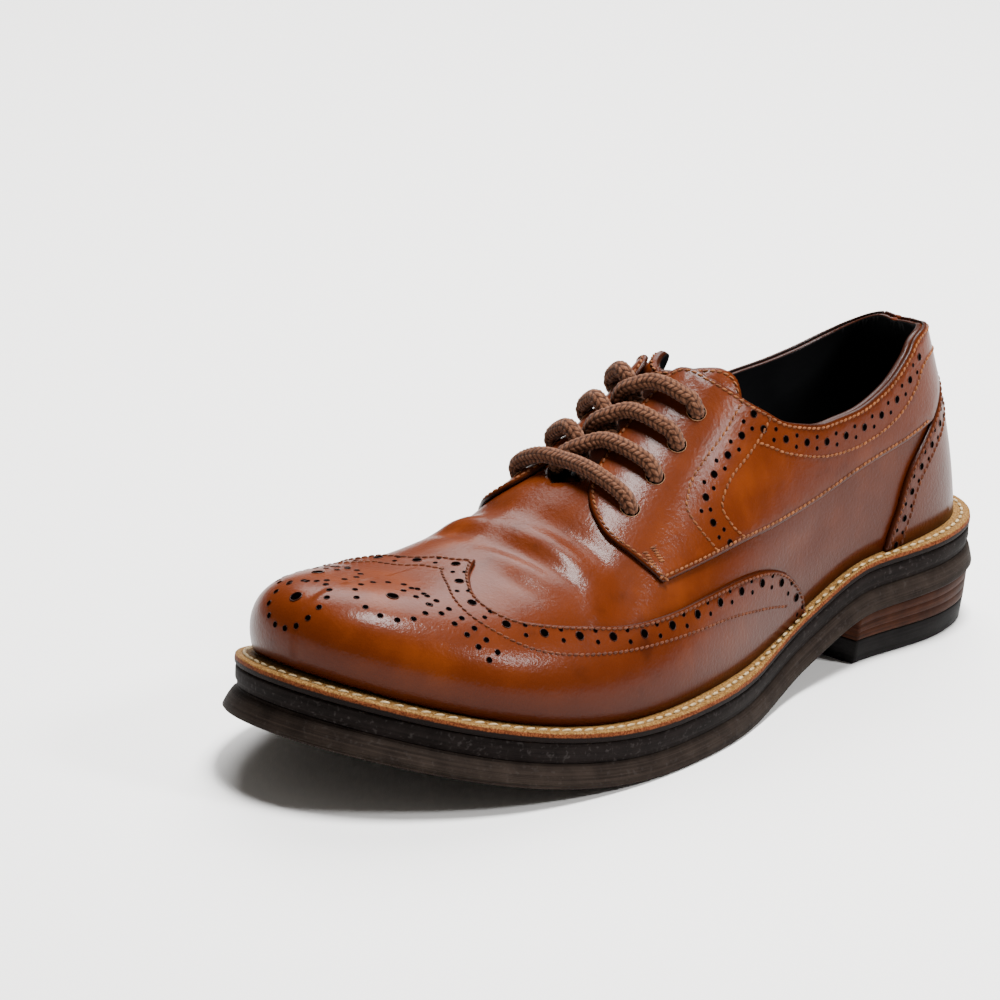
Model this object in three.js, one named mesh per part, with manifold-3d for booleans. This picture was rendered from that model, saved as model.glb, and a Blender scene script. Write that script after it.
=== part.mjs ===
// A left brogue derby shoe: a hollow leather upper with sewn-on panels, on a welted sole with a
// stacked heel. Millimetres, +X to the toe, +Y to the lateral side, +Z up from the floor.

import * as THREE from "three";
import { mergeVertices } from "three/addons/utils/BufferGeometryUtils.js";
import Module from "manifold-3d";

const wasm = await Module();
wasm.setup();

// Driving sizes of the last
const lastLength = 291; // heel back to toe along the seam where upper and welt meet
const ballWidth = 100; // width of the control outline at the ball
const instepRise = 62; // crest height above the welt at the front of the lacing

// Sole sizes
const seatBack = 19.3; // height of the heel under the outsole, at the back
const seatBreast = 16.9; // the same at the heel breast
const breastAt = 74; // heel breast, from the back of the last
const toeSpring = 26;
const topLiftHeight = 8;
const outsoleThickness = 7.2;
const midsoleThickness = 6.3;
const weltThickness = 3.4;
const weltWidth = 7.2; // how far the welt stands out from the upper
const waistNarrowing = 4; // how much less it stands out at the waist
const weltSeat = 5; // how far the welt reaches in under the upper
const soleFlare = 1.6; // how far the foot of the outsole stands out past its top
const toeFlare = 2.2; // what the toe adds to that
const grooveDepth = 0.9; // broad shallow groove where outsole and midsole meet
const heelInset = 1.2; // heel pile, set in from the outsole
const pileTaper = 0.8; // what the heel pile draws in on its way down
const liftInset = 1.8; // the same down to the floor
const insoleThickness = 3;

// Upper sizes
const wallThickness = 2;
const panelThickness = 1.4;
const tongueThickness = 2.6;
const eyeletRadius = 2.1;
const laceRadius = 2.8;

// Clearances
const seam = 0.3; // between pieces laid on each other
const panelSeam = 0.03; // between panels edge to edge, in stations

// The last, one row per station from heel back to toe. Along and crestX are shares of lastLength;
// out, crestY and bulge are shares of ballWidth; full is the exponent of the section, lean its taper.
const lastColumns = [
  "alongLat", "outLat", "alongMed", "outMed", "crestX", "crestY", "bulgeLat", "bulgeMed", "full", "lean",
];
const lastRows = [
  [0.010, 0, 0.010, 0, 0.125, 0, 0.015, 0.015, 2.2, 0.75],
  [0.012, 0.145, 0.012, 0.14, 0.125, 0, 0.015, 0.015, 2.2, 0.75],
  [0.056, 0.262, 0.052, 0.252, 0.135, 0, 0.02, 0.02, 2.3, 0.5],
  [0.129, 0.302, 0.126, 0.297, 0.16, -0.005, 0.02, 0.02, 2.4, 0.24],
  [0.215, 0.315, 0.215, 0.29, 0.222, -0.01, 0.015, 0.01, 2.4, 0.12],
  [0.308, 0.325, 0.308, 0.275, 0.308, -0.02, 0.02, 0.01, 2.4, 0.1],
  [0.404, 0.365, 0.404, 0.28, 0.404, -0.03, 0.02, 0.01, 2.3, 0.12],
  [0.5, 0.435, 0.5, 0.34, 0.5, -0.04, 0.02, 0.02, 2.2, 0.12],
  [0.593, 0.495, 0.596, 0.425, 0.593, -0.05, 0.02, 0.025, 2.2, 0.1],
  [0.682, 0.51, 0.689, 0.48, 0.675, -0.055, 0.02, 0.025, 2.2, 0.06],
  [0.765, 0.485, 0.775, 0.49, 0.744, -0.055, 0.02, 0.025, 2.4, 0.02],
  [0.844, 0.42, 0.856, 0.475, 0.785, -0.055, 0.02, 0.02, 2.7, 0],
  [0.912, 0.3, 0.932, 0.405, 0.802, -0.055, 0.02, 0.015, 3.4, 0],
  [0.971, 0.14, 0.988, 0.262, 0.806, -0.055, 0.02, 0.015, 3.8, 0],
  [1, -0.05, 1.006, 0.06, 0.806, -0.055, 0.02, 0.015, 3.8, 0],
].map((numbers) => Object.fromEntries(numbers.map((number, i) => [lastColumns[i], number])));
const lastStation = lastRows.length - 1;
const ringStations = 2 * lastStation;

// Crest of the closed last above the welt, as shares of instepRise, at equal steps of the length
const crestStep = 1 / 15;
const crestStart = -1;
const crestShares = [
  1.82, 1.82, 1.83, 1.84, 1.85, 1.83, 1.74, 1.59, 1.39, 1.17, 0.98, 0.83, 0.7, 0.6, 0.51, 0.48, 0.45, 0.42,
];

// Mesh lattice of the upper's form
const columnsPerStation = 2.5;
const rowsToCrest = 8;
const crestAngle = 90; // degrees, the angle of the section at the crest
const columnCount = ringStations * columnsPerStation;
const rowAngle = crestAngle / rowsToCrest;

// Uniform cubic B-spline weights at a fraction of one span
function splineWeights(f) {
  return [
    (1 - f) ** 3 / 6,
    (3 * f ** 3 - 6 * f ** 2 + 4) / 6,
    (-3 * f ** 3 + 3 * f ** 2 + 3 * f + 1) / 6,
    f ** 3 / 6,
  ];
}

// Smooth value at place t of a list read through a function of the index
function splineOf(read, t) {
  const first = Math.floor(t);
  return splineWeights(t - first).reduce((sum, weight, j) => sum + weight * read(first + j - 1), 0);
}

// Height of the sole's underside along its length: heel seat, waist, flat forefoot, toe spring
const waistEnd = 0.5 * lastLength;
const springStart = 0.655 * lastLength;
const springPower = 1.8;
function rawSoleHeight(x) {
  if (x < breastAt) return seatBack + (seatBreast - seatBack) * Math.max(0, x / breastAt);
  if (x < waistEnd) {
    const w = (x - breastAt) / (waistEnd - breastAt);
    return seatBreast * (1 - w) ** 1.7 * (1 + 0.35 * w);
  }
  if (x < springStart) return 0;
  return toeSpring * ((x - springStart) / (lastLength + weltWidth - springStart)) ** springPower;
}
const soleStep = 10; // spacing of the heights that are smoothed
function soleHeight(x) {
  return splineOf((i) => rawSoleHeight(i * soleStep), x / soleStep);
}

// Levels of the stack, above the sole's underside
const outsoleTop = outsoleThickness;
const midsoleFoot = outsoleTop + seam;
const midsoleTop = midsoleFoot + midsoleThickness;
const weltFoot = midsoleTop + seam;
const weltTop = weltFoot + weltThickness;
const featherLevel = weltTop + seam;
const featherHeight = (x) => soleHeight(x) + featherLevel;

// Seam outline in plan, u counted in stations: lateral side up to lastStation, medial side after it
function outlineControl(i, axis) {
  const k = ((i % ringStations) + ringStations) % ringStations;
  const lateral = k <= lastStation;
  const row = lastRows[lateral ? k : ringStations - k];
  if (axis === "x") return (lateral ? row.alongLat : row.alongMed) * lastLength;
  return (lateral ? row.outLat : -row.outMed) * ballWidth;
}
function outlineAt(u) {
  return new THREE.Vector2(
    splineOf((i) => outlineControl(i, "x"), u),
    splineOf((i) => outlineControl(i, "y"), u),
  );
}
const smallStep = 1e-3;
function outlineNormal(u) {
  const along = outlineAt(u + smallStep).sub(outlineAt(u - smallStep)).normalize();
  return new THREE.Vector2(-along.y, along.x);
}

// Value of a column of the last's table at station s, even about both ends
function columnAt(name, s) {
  return splineOf((i) => {
    const k = Math.abs(i);
    return lastRows[k > lastStation ? ringStations - k : k][name];
  }, s);
}
function crestRise(x) {
  const read = (i) => crestShares[Math.min(Math.max(i, 0), crestShares.length - 1)];
  return instepRise * splineOf(read, x / (crestStep * lastLength) - crestStart);
}

// A point of the last's surface: u round the outline, angle from the seam (0) to the crest (90)
function lastPoint(u, angle) {
  const ring = ((u % ringStations) + ringStations) % ringStations;
  const s = Math.min(ring, ringStations - ring);
  const foot = outlineAt(ring);
  const crestX = columnAt("crestX", s) * lastLength;
  const crestY = columnAt("crestY", s) * ballWidth;
  const full = columnAt("full", s);
  const c = Math.cos(THREE.MathUtils.degToRad(angle));
  const d = Math.sin(THREE.MathUtils.degToRad(angle));
  const radius = (Math.max(c, 0) ** full + d ** full) ** (-1 / full);
  const up = Math.min(d * radius, 1);
  const out = Math.max(c, 0) * radius * (1 - columnAt("lean", s) * up);
  const sideBlend = THREE.MathUtils.smoothstep(foot.y, -0.08 * ballWidth, 0.08 * ballWidth);
  const share = THREE.MathUtils.lerp(columnAt("bulgeMed", s), columnAt("bulgeLat", s), sideBlend);
  const swell = share * ballWidth * 6.75 * up * (1 - up) ** 2; // at its full size a third of the way up
  const normal = outlineNormal(ring);
  const x = crestX + out * (foot.x - crestX) + normal.x * swell;
  const y = crestY + out * (foot.y - crestY) + normal.y * swell;
  return new THREE.Vector3(x, y, featherHeight(x) + up * crestRise(x));
}

// Outward normal of that surface
function lastNormal(u, angle) {
  if (angle > crestAngle - 1) {
    const x = lastPoint(u, crestAngle).x;
    const top = (at) => featherHeight(at) + crestRise(at);
    return new THREE.Vector3(top(x - 1) - top(x + 1), 0, 2).normalize();
  }
  const low = Math.max(angle - 0.1, 0);
  const across = lastPoint(u, low + 0.2).sub(lastPoint(u, low));
  const round = lastPoint(u + smallStep, angle).sub(lastPoint(u - smallStep, angle));
  return across.cross(round).normalize();
}

// A point at an offset from the last, never below the seat on the welt
function formPoint(u, angle, offset) {
  const p = lastPoint(u, angle).addScaledVector(lastNormal(u, angle), offset);
  p.z = Math.max(p.z, featherHeight(p.x));
  return p;
}

// Corners of the lattice, worked out once for each offset and shared by both sides at the crest
const latticeCache = new Map();
function latticePoint(column, row, offset) {
  let c = ((column % columnCount) + columnCount) % columnCount;
  if (row === rowsToCrest) c = Math.min(c, columnCount - c);
  const key = `${c},${row},${offset}`;
  if (!latticeCache.has(key)) {
    latticeCache.set(key, formPoint(c / columnsPerStation, row * rowAngle, offset));
  }
  return latticeCache.get(key);
}

// Parts of a simple polygon that lie to the left of the line a to b
function clipToEdge(polygon, a, b) {
  const side = (p) => (b.x - a.x) * (p.y - a.y) - (b.y - a.y) * (p.x - a.x);
  const sides = polygon.map(side);
  const first = sides.findIndex((s, i) => s < 0 && sides[(i + 1) % sides.length] >= 0);
  if (first < 0) return sides.some((s) => s >= 0) ? [polygon] : [];
  const chains = [];
  polygon.forEach((_, step) => {
    const i = (first + step) % polygon.length;
    const j = (i + 1) % polygon.length;
    const crossing = () => polygon[i].clone().lerp(polygon[j], sides[i] / (sides[i] - sides[j]));
    if (sides[i] < 0 && sides[j] >= 0) chains.push([crossing()]);
    if (sides[j] >= 0) chains.at(-1).push(polygon[j]);
    if (sides[i] >= 0 && sides[j] < 0) chains.at(-1).push(crossing());
  });
  // Sorted along the line, the crossings bound its inner stretches in pairs
  const along = (p) => (b.x - a.x) * p.x + (b.y - a.y) * p.y;
  const ends = chains.flatMap((chain, c) => [
    { chain: c, leaves: false, place: along(chain[0]) },
    { chain: c, leaves: true, place: along(chain.at(-1)) },
  ]);
  ends.sort((p, q) => p.place - q.place);
  const next = new Map();
  for (let k = 0; k < ends.length; k += 2) {
    const [out, back] = ends[k].leaves ? [ends[k], ends[k + 1]] : [ends[k + 1], ends[k]];
    next.set(out.chain, back.chain);
  }
  const parts = [];
  const used = new Set();
  chains.forEach((_, start) => {
    const part = [];
    for (let c = start; !used.has(c); c = next.get(c)) {
      used.add(c);
      part.push(...chains[c]);
    }
    if (part.length > 2) parts.push(part);
  });
  return parts;
}

// Closed shell over outlines on the last, between two offsets. An outline is a list of
// Vector2(station, angle); it lies on one side of the crest, and outlines that touch are joined.
function shellOver(outlines, innerOffset, outerOffset) {
  const vertices = [];
  const known = new Map();
  const faces = [];
  const weld = (outer, inner) => {
    const key = outer.toArray().map((v) => Math.round(v * 2000)).join();
    if (!known.has(key)) {
      known.set(key, vertices.length);
      vertices.push({ outer, inner });
    }
    return known.get(key);
  };
  const addTriangle = (outline, corners) => {
    let parts = [outline];
    corners.forEach((corner, i) => {
      parts = parts.flatMap((part) => clipToEdge(part, corner, corners[(i + 1) % 3]));
    });
    const triangle = new THREE.Triangle(...corners.map((c) => new THREE.Vector3(c.x, c.y, 0)));
    const weights = new THREE.Vector3();
    const mix = (offset) => {
      const sum = new THREE.Vector3();
      corners.forEach((c, i) => {
        sum.addScaledVector(latticePoint(c.x, c.y, offset), weights.getComponent(i));
      });
      return sum;
    };
    parts.forEach((part) => {
      const indices = part.map((p) => {
        triangle.getBarycoord(new THREE.Vector3(p.x, p.y, 0), weights);
        return weld(mix(outerOffset), mix(innerOffset));
      });
      THREE.ShapeUtils.triangulateShape(part, []).forEach((corner) => {
        const [p, q, r] = corner.map((i) => part[i]);
        const [i, j, k] = corner.map((c) => indices[c]);
        const face = q.clone().sub(p).cross(r.clone().sub(p)) < 0 ? [i, k, j] : [i, j, k];
        if (new Set(face).size === 3) faces.push(face);
      });
    });
  };
  outlines.forEach((stations) => {
    const outline = stations.map((p) => new THREE.Vector2(p.x * columnsPerStation, p.y / rowAngle));
    if (THREE.ShapeUtils.area(outline) < 0) outline.reverse();
    const box = new THREE.Box2().setFromPoints(outline);
    for (let c = Math.floor(box.min.x); c < box.max.x; c++) {
      for (let r = Math.max(0, Math.floor(box.min.y)); r < Math.min(box.max.y, rowsToCrest); r++) {
        const corner = (i, j) => new THREE.Vector2(c + i, r + j);
        addTriangle(outline, [corner(0, 0), corner(1, 0), corner(1, 1)]);
        addTriangle(outline, [corner(0, 0), corner(1, 1), corner(0, 1)]);
      }
    }
  });
  const edges = new Map();
  faces.forEach(([a, b, c]) => {
    [[a, b], [b, c], [c, a]].forEach((edge) => edges.set(edge.join(), edge));
  });
  const count = vertices.length;
  const triangles = [];
  // u runs towards the toe on the lateral side and the angle runs up, so a face turns inwards
  faces.forEach(([a, b, c]) => triangles.push(a, c, b, count + a, count + b, count + c));
  edges.forEach(([a, b]) => {
    if (!edges.has(`${b},${a}`)) triangles.push(a, b, count + b, a, count + b, count + a);
  });
  const corners = [...vertices.map((v) => v.outer), ...vertices.map((v) => v.inner)];
  return bufferOf(corners.flatMap((v) => v.toArray()), triangles);
}

function bufferOf(positions, triangles) {
  const geometry = new THREE.BufferGeometry();
  geometry.setAttribute("position", new THREE.Float32BufferAttribute(positions, 3));
  geometry.setIndex(triangles);
  return geometry;
}

// Joins and cuts
function solidOf(geometry) {
  const bare = geometry.clone();
  bare.deleteAttribute("normal");
  bare.deleteAttribute("uv");
  const merged = mergeVertices(bare, 1e-4);
  return new wasm.Manifold(
    new wasm.Mesh({
      numProp: 3,
      vertProperties: new Float32Array(merged.attributes.position.array),
      triVerts: new Uint32Array(merged.index.array),
    }),
  );
}
function geometryOf(solid) {
  const mesh = solid.getMesh();
  return bufferOf(Array.from(mesh.vertProperties), Array.from(mesh.triVerts));
}

// A plate of the sole: loops of the seam outline, each pushed out by its own distance
function plateOf(levels) {
  const positions = [];
  levels.forEach(({ out, height }) => {
    for (let i = 0; i < columnCount; i++) {
      const u = i / columnsPerStation;
      const seamPoint = outlineAt(u);
      const p = seamPoint.clone().addScaledVector(outlineNormal(u), out(seamPoint.x));
      positions.push(p.x, p.y, height(seamPoint.x));
    }
  });
  const triangles = [];
  const at = (level, i) => level * columnCount + ((i + columnCount) % columnCount);
  for (let level = 0; level + 1 < levels.length; level++) {
    for (let i = 0; i < columnCount; i++) {
      triangles.push(at(level, i), at(level + 1, i), at(level + 1, i + 1));
      triangles.push(at(level, i), at(level + 1, i + 1), at(level, i + 1));
    }
  }
  return { positions, triangles, at };
}
function closedPlate(levels) {
  const { positions, triangles, at } = plateOf(levels);
  const top = levels.length - 1;
  for (let i = 0; i < columnCount / 2; i++) {
    const strip = (level) => [at(level, i), at(level, i + 1), at(level, -i - 1), at(level, -i)];
    const [a, b, c, d] = strip(0);
    const [e, f, g, h] = strip(top);
    if (i + 1 < columnCount / 2) triangles.push(a, b, c, e, g, f);
    if (i > 0) triangles.push(a, c, d, e, h, g);
  }
  return bufferOf(positions, triangles);
}
// A ring of the same kind: the levels run up the outside and down the inside, and close
function closedRing(levels) {
  const { positions, triangles } = plateOf([...levels, levels[0]]);
  return mergeVertices(bufferOf(positions, triangles), 1e-4);
}
const above = (level) => (x) => soleHeight(x) + level;

// Panel edges, from pairs of station and angle; the medial side mirrors all but its own topline and wing
const row = (station, angle) => new THREE.Vector2(station, angle);
const curvePoints = 3; // points for each span of a curved edge
function smooth(pairs) {
  const rows = pairs.map(([station, angle]) => row(station, angle));
  return new THREE.SplineCurve(rows).getPoints(curvePoints * (rows.length - 1));
}
const mirrored = (outline) => outline.map((p) => row(ringStations - p.x, p.y));
const bothSides = (outline) => [outline, mirrored(outline)];
const reversed = (outline) => [...outline].reverse();

const facingTop = [6.42, 65]; // upper corner of the lacing edge
const facingToe = [8.23, 35.6]; // lower corner of the lacing flap
const toplineFront = [[5.27, 31.4], [5.7, 37.2], [5.95, 43.3], [6.15, 49.7], [6.3, 57], facingTop];
const toplineBack = [[0, 33.2], [0.7, 33.6]];
const lateralTopline = smooth([
  ...toplineBack, [1.3, 33.8], [2, 34.4], [2.84, 33.8], [3.3, 31], [3.85, 27.8], [4.4, 26.6], [4.93, 28.7],
  ...toplineFront,
]);
const medialTopline = smooth([
  ...toplineBack, [1.3, 32.6], [1.9, 30.6], [2.5, 28.2], [3.1, 26.2], [3.75, 25.4], [4.4, 26], [4.93, 28.6],
  ...toplineFront,
]);
// Edge of the upper under the lacing flaps, closing over the crest in front of them
const throatEdge = smooth([facingTop, [6.55, 69], [6.9, 71], [7.5, 72.5], [8.1, 79], [8.35, crestAngle]]);
const facingEdge = smooth([
  facingTop, [6.49, 73], [6.6, 79.5], [6.85, 82], [7.5, 81.5], [8.1, 77], [8.32, 72.5], [8.47, 66.5],
  [8.55, 57.6], [8.43, 47.4], facingToe,
]);
const quarterFoot = smooth([
  facingToe, [7.6, 31.8], [6.85, 27.3], [6.08, 22], [5.27, 18.2], [4.46, 16.5], [3.61, 17.2], [2.88, 18.4],
]);
const counterEdge = smooth([
  [3.85, 0], [3.75, 3.5], [3.62, 6.5], [3.5, 10], [3.28, 13.5], [2.85, 17.2], [2.3, 20.8], [1.6, 25],
  [1.05, 28], [0.7, 33.6],
]);
// The wing's edge is alike on both sides as far as the vamp, and its pointed apex leans to the lateral side
const wingSide = [
  [5.48, 0], [5.57, 3.8], [5.71, 7], [5.99, 12], [6.43, 16.9], [6.94, 20.7], [7.57, 23.9], [8.24, 27],
  [8.93, 31.3], [9.66, 37.7], [10.24, 42.4], [10.73, 46.8], [11.03, 52.3], [11.17, 59], [11.08, 67],
];
const wingApex = [10.45, 79.5];
const wingCrest = [11.1, crestAngle]; // where the edge crosses the crest, on the apex's medial side
const wingLateralEdge = [
  ...smooth([...wingSide, [10.84, 74], wingApex]),
  ...smooth([wingApex, [10.64, 82.5], [10.87, 85.8], wingCrest]).slice(1),
];
const wingMedialEdge = smooth([...wingSide, [11.24, 75], [11.26, 82], wingCrest]);
const tongueEdge = smooth([
  [6.6, crestAngle], [6.54, 80], [6.38, 71], [6.18, 62], [6.08, 54], [6.2, 47], [6.6, 47], [7.4, 50],
  [8.2, 55], [8.75, 65], [8.95, 78], [9, crestAngle],
]);
const eyelets = [row(6.75, 61.6), row(7.14, 60.5), row(7.58, 59.4), row(8.08, 58.5)];

// Offsets of the layers from the last's surface
const panelInner = seam;
const panelOuter = panelInner + panelThickness;
const tongueOuter = -wallThickness - seam;
const laceOffset = panelOuter + seam + laceRadius;

// Outlines of the panels
const toe = lastStation;
const backStripSide = counterEdge.at(-1).x;
const quarterFootEnd = quarterFoot.at(-1).y;
const upperOutline = (topline) => [
  row(0, 0),
  row(toe, 0),
  row(toe, crestAngle),
  ...reversed(throatEdge),
  ...reversed(topline).slice(1),
];
const wingToe = [row(toe, crestAngle), row(toe, 0)];
const wingOutlines = [[...wingLateralEdge, ...wingToe], mirrored([...wingMedialEdge, ...wingToe])];
const counterOutline = (topline) => [
  row(0, 0),
  ...counterEdge,
  ...reversed(topline.filter((p) => p.x < backStripSide)),
];
const quarterOutline = (topline) => [
  ...topline.filter((p) => p.x > backStripSide + 2 * panelSeam),
  ...facingEdge.slice(1),
  ...quarterFoot.slice(1, -1),
  ...counterEdge.filter((p) => p.y > quarterFootEnd).map((p) => row(p.x + panelSeam, p.y)),
];

// A round hole of the eyelets, along the surface's own direction
const holeSides = 8;
const holeLength = 16;
function eyeletHole(station, angle) {
  const hole = new THREE.CylinderGeometry(eyeletRadius, eyeletRadius, holeLength, holeSides);
  const direction = lastNormal(station, angle);
  hole.applyQuaternion(new THREE.Quaternion().setFromUnitVectors(new THREE.Vector3(0, 1, 0), direction));
  const centre = lastPoint(station, angle);
  return solidOf(hole.translate(centre.x, centre.y, centre.z));
}
function punched(geometry, stations) {
  let solid = solidOf(geometry);
  stations.forEach((p) => {
    solid = solid.subtract(eyeletHole(p.x, p.y));
  });
  return geometryOf(solid);
}

// Round cord through points given by station, angle and offset
const cordSides = 7;
const cordSteps = 3; // lengths of cord to each span of its path
function cordThrough(rows) {
  const points = rows.map(([station, angle, offset]) => formPoint(station, angle, offset));
  const circle = new THREE.EllipseCurve(0, 0, laceRadius, laceRadius);
  return new THREE.ExtrudeGeometry(new THREE.Shape(circle.getPoints(cordSides).slice(1)), {
    extrudePath: new THREE.CatmullRomCurve3(points),
    steps: cordSteps * (rows.length - 1),
  });
}
const otherSide = (rows) => rows.map(([station, angle, offset]) => [ringStations - station, angle, offset]);
const overFacing = 0.6; // how far a cord lifts off the lacing edge as it bends over it

// The straight bar over the front eyelets
function laceBar() {
  const { x: station, y: angle } = eyelets.at(-1);
  const half = [
    [station, angle, laceOffset],
    [station + 0.02, 72, laceOffset + overFacing],
  ];
  const middle = [station + 0.02, crestAngle, laceOffset - overFacing];
  return cordThrough([...half, middle, ...otherSide(half).reverse()]);
}
// A crossing: from one eyelet over the lacing edge, down on the tongue, and up to the other side
function laceCrossing(index) {
  const { x: station, y: angle } = eyelets[index];
  const half = [
    [station, angle, laceOffset],
    [station + 0.06, 72, laceOffset + overFacing],
    [station + 0.1, 82, laceOffset + overFacing],
  ];
  const dip = tongueOuter + seam + laceRadius + 1.4;
  const middle = [(station + eyelets[index + 1].x) / 2, crestAngle, dip];
  return cordThrough([...half, middle, ...otherSide(half).reverse()]);
}

// Side of the sole, drawn in at the waist and spread at the toe
const edge = (x) => {
  const rise = THREE.MathUtils.smoothstep(x, 0.1 * lastLength, 0.25 * lastLength);
  const fall = THREE.MathUtils.smoothstep(x, 0.36 * lastLength, 0.56 * lastLength);
  return weltWidth - waistNarrowing * (rise - fall);
};
const flare = (x) => soleFlare + toeFlare * THREE.MathUtils.smoothstep(x, 0.6 * lastLength, lastLength);
const outsoleLevels = [
  { out: (x) => edge(x) + flare(x) - 0.5, height: above(0) },
  { out: (x) => edge(x) + flare(x), height: above(0.1 * outsoleThickness) },
  { out: (x) => edge(x) + 0.4 * flare(x), height: above(0.8 * outsoleThickness) },
  { out: (x) => edge(x) - grooveDepth, height: above(0.92 * outsoleThickness) },
  { out: (x) => edge(x) - grooveDepth, height: above(outsoleTop) },
];
const midsoleLevels = [
  { out: (x) => edge(x) - grooveDepth, height: above(midsoleFoot) },
  { out: (x) => edge(x) - grooveDepth, height: above(midsoleFoot + 0.2 * midsoleThickness) },
  { out: edge, height: above(midsoleFoot + 0.3 * midsoleThickness) },
  { out: edge, height: above(midsoleTop - 0.15 * midsoleThickness) },
  { out: (x) => edge(x) - 0.5, height: above(midsoleTop) },
];
const weltLevels = [
  { out: edge, height: above(weltFoot) },
  { out: (x) => edge(x) + 0.3, height: above(weltFoot + weltThickness / 2) },
  { out: (x) => edge(x) - 0.3, height: above(weltTop) },
  { out: () => -weltSeat, height: above(weltTop) },
  { out: () => -weltSeat, height: above(weltFoot) },
];
const insoleSide = -(wallThickness + seam + 0.5);
const insoleLevels = [
  { out: () => -weltSeat - seam, height: above(weltFoot) },
  { out: () => -weltSeat - seam, height: above(featherLevel) },
  { out: () => insoleSide, height: above(featherLevel) },
  { out: () => insoleSide, height: above(featherLevel + insoleThickness) },
];

// The heel pile is cut straight at the breast
function heelPlate(levels) {
  const cut = new THREE.BoxGeometry(lastLength, 2 * ballWidth, 2 * lastLength);
  cut.translate(breastAt - lastLength / 2, 0, 0);
  return geometryOf(solidOf(closedPlate(levels)).intersect(solidOf(cut)));
}
const seatHeight = (x) => soleHeight(Math.min(x, breastAt)) - seam;
const stackLevels = [
  { out: (x) => edge(x) + soleFlare - heelInset - pileTaper, height: () => topLiftHeight + seam },
  { out: (x) => edge(x) + soleFlare - heelInset, height: seatHeight },
];
const topLiftLevels = [
  { out: (x) => edge(x) + soleFlare - heelInset - liftInset, height: () => 0 },
  { out: (x) => edge(x) + soleFlare - heelInset - pileTaper, height: () => topLiftHeight },
];

// Materials
function finish(color, roughness) {
  return new THREE.MeshStandardMaterial({ color, roughness, metalness: 0, side: THREE.FrontSide });
}
const tanLeather = finish(0x8c4114, 0.25);
const tongueLeather = finish(0x7a3a14, 0.4);
const liningLeather = finish(0x141414, 0.7);
const weltLeather = finish(0xa9743c, 0.5);
const darkRubber = finish(0x2c2a2e, 0.6);
const soleLeather = finish(0x3a302c, 0.6);
const heelLeather = finish(0x4f2c1c, 0.45);
const cotton = finish(0x4a3026, 0.9);

const shoe = new THREE.Group();
function addPiece(name, geometry, material) {
  const mesh = new THREE.Mesh(geometry, material);
  mesh.name = name;
  shoe.add(mesh);
}

addPiece("outsole", closedPlate(outsoleLevels), soleLeather);
addPiece("midsole", closedPlate(midsoleLevels), darkRubber);
addPiece("welt", closedRing(weltLevels), weltLeather);
addPiece("heel_stack", heelPlate(stackLevels), heelLeather);
addPiece("top_lift", heelPlate(topLiftLevels), darkRubber);
addPiece("insole", closedPlate(insoleLevels), liningLeather);

const underToplines = (outlineOf) => [outlineOf(lateralTopline), mirrored(outlineOf(medialTopline))];
const [lateralOutline, medialOutline] = underToplines(quarterOutline);
const wholeUpper = shellOver(underToplines(upperOutline), -wallThickness, 0);
const lateralQuarter = shellOver([lateralOutline], panelInner, panelOuter);
const medialQuarter = shellOver([medialOutline], panelInner, panelOuter);
addPiece("upper", punched(wholeUpper, [...eyelets, ...mirrored(eyelets)]), tanLeather);
addPiece("wing_cap", shellOver(wingOutlines, panelInner, panelOuter), tanLeather);
addPiece("counter", shellOver(underToplines(counterOutline), panelInner, panelOuter), tanLeather);
addPiece("quarter_lateral", punched(lateralQuarter, eyelets), tanLeather);
addPiece("quarter_medial", punched(medialQuarter, mirrored(eyelets)), tanLeather);
const tongueInner = tongueOuter - tongueThickness;
addPiece("tongue", shellOver(bothSides(tongueEdge), tongueInner, tongueOuter), tongueLeather);

addPiece("lace_bar", laceBar(), cotton);
for (let i = 0; i + 1 < eyelets.length; i++) addPiece(`lace_crossing_${i + 1}`, laceCrossing(i), cotton);

// The origin is on the floor, under the middle of the shoe's box
const box = new THREE.Box3().setFromObject(shoe);
const middle = box.getCenter(new THREE.Vector3());
shoe.position.set(-middle.x, -middle.y, -box.min.z);
shoe.updateMatrixWorld(true);

export default shoe;
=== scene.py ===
# A left brogue derby shoe in burnished tan leather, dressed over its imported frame.
# The form of the upper and the stack of the sole are worked out in millimetres from the heel back.
import math
import bpy
import bmesh
import numpy as np
from mathutils import Matrix, Vector
from mathutils.geometry import delaunay_2d_cdt


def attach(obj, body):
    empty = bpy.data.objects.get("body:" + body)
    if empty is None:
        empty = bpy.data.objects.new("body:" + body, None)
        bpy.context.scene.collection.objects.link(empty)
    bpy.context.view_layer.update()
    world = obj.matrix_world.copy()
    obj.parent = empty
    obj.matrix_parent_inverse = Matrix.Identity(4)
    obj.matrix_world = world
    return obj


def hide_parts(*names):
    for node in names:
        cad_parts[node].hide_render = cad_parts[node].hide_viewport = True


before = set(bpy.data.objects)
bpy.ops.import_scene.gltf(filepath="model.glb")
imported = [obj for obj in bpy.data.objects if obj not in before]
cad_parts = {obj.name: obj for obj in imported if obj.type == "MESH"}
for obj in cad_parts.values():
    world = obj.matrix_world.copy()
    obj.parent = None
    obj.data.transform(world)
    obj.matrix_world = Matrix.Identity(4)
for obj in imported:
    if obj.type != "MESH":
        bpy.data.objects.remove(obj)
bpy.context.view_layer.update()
print("frame loaded")

# Sizes of the shoe

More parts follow.
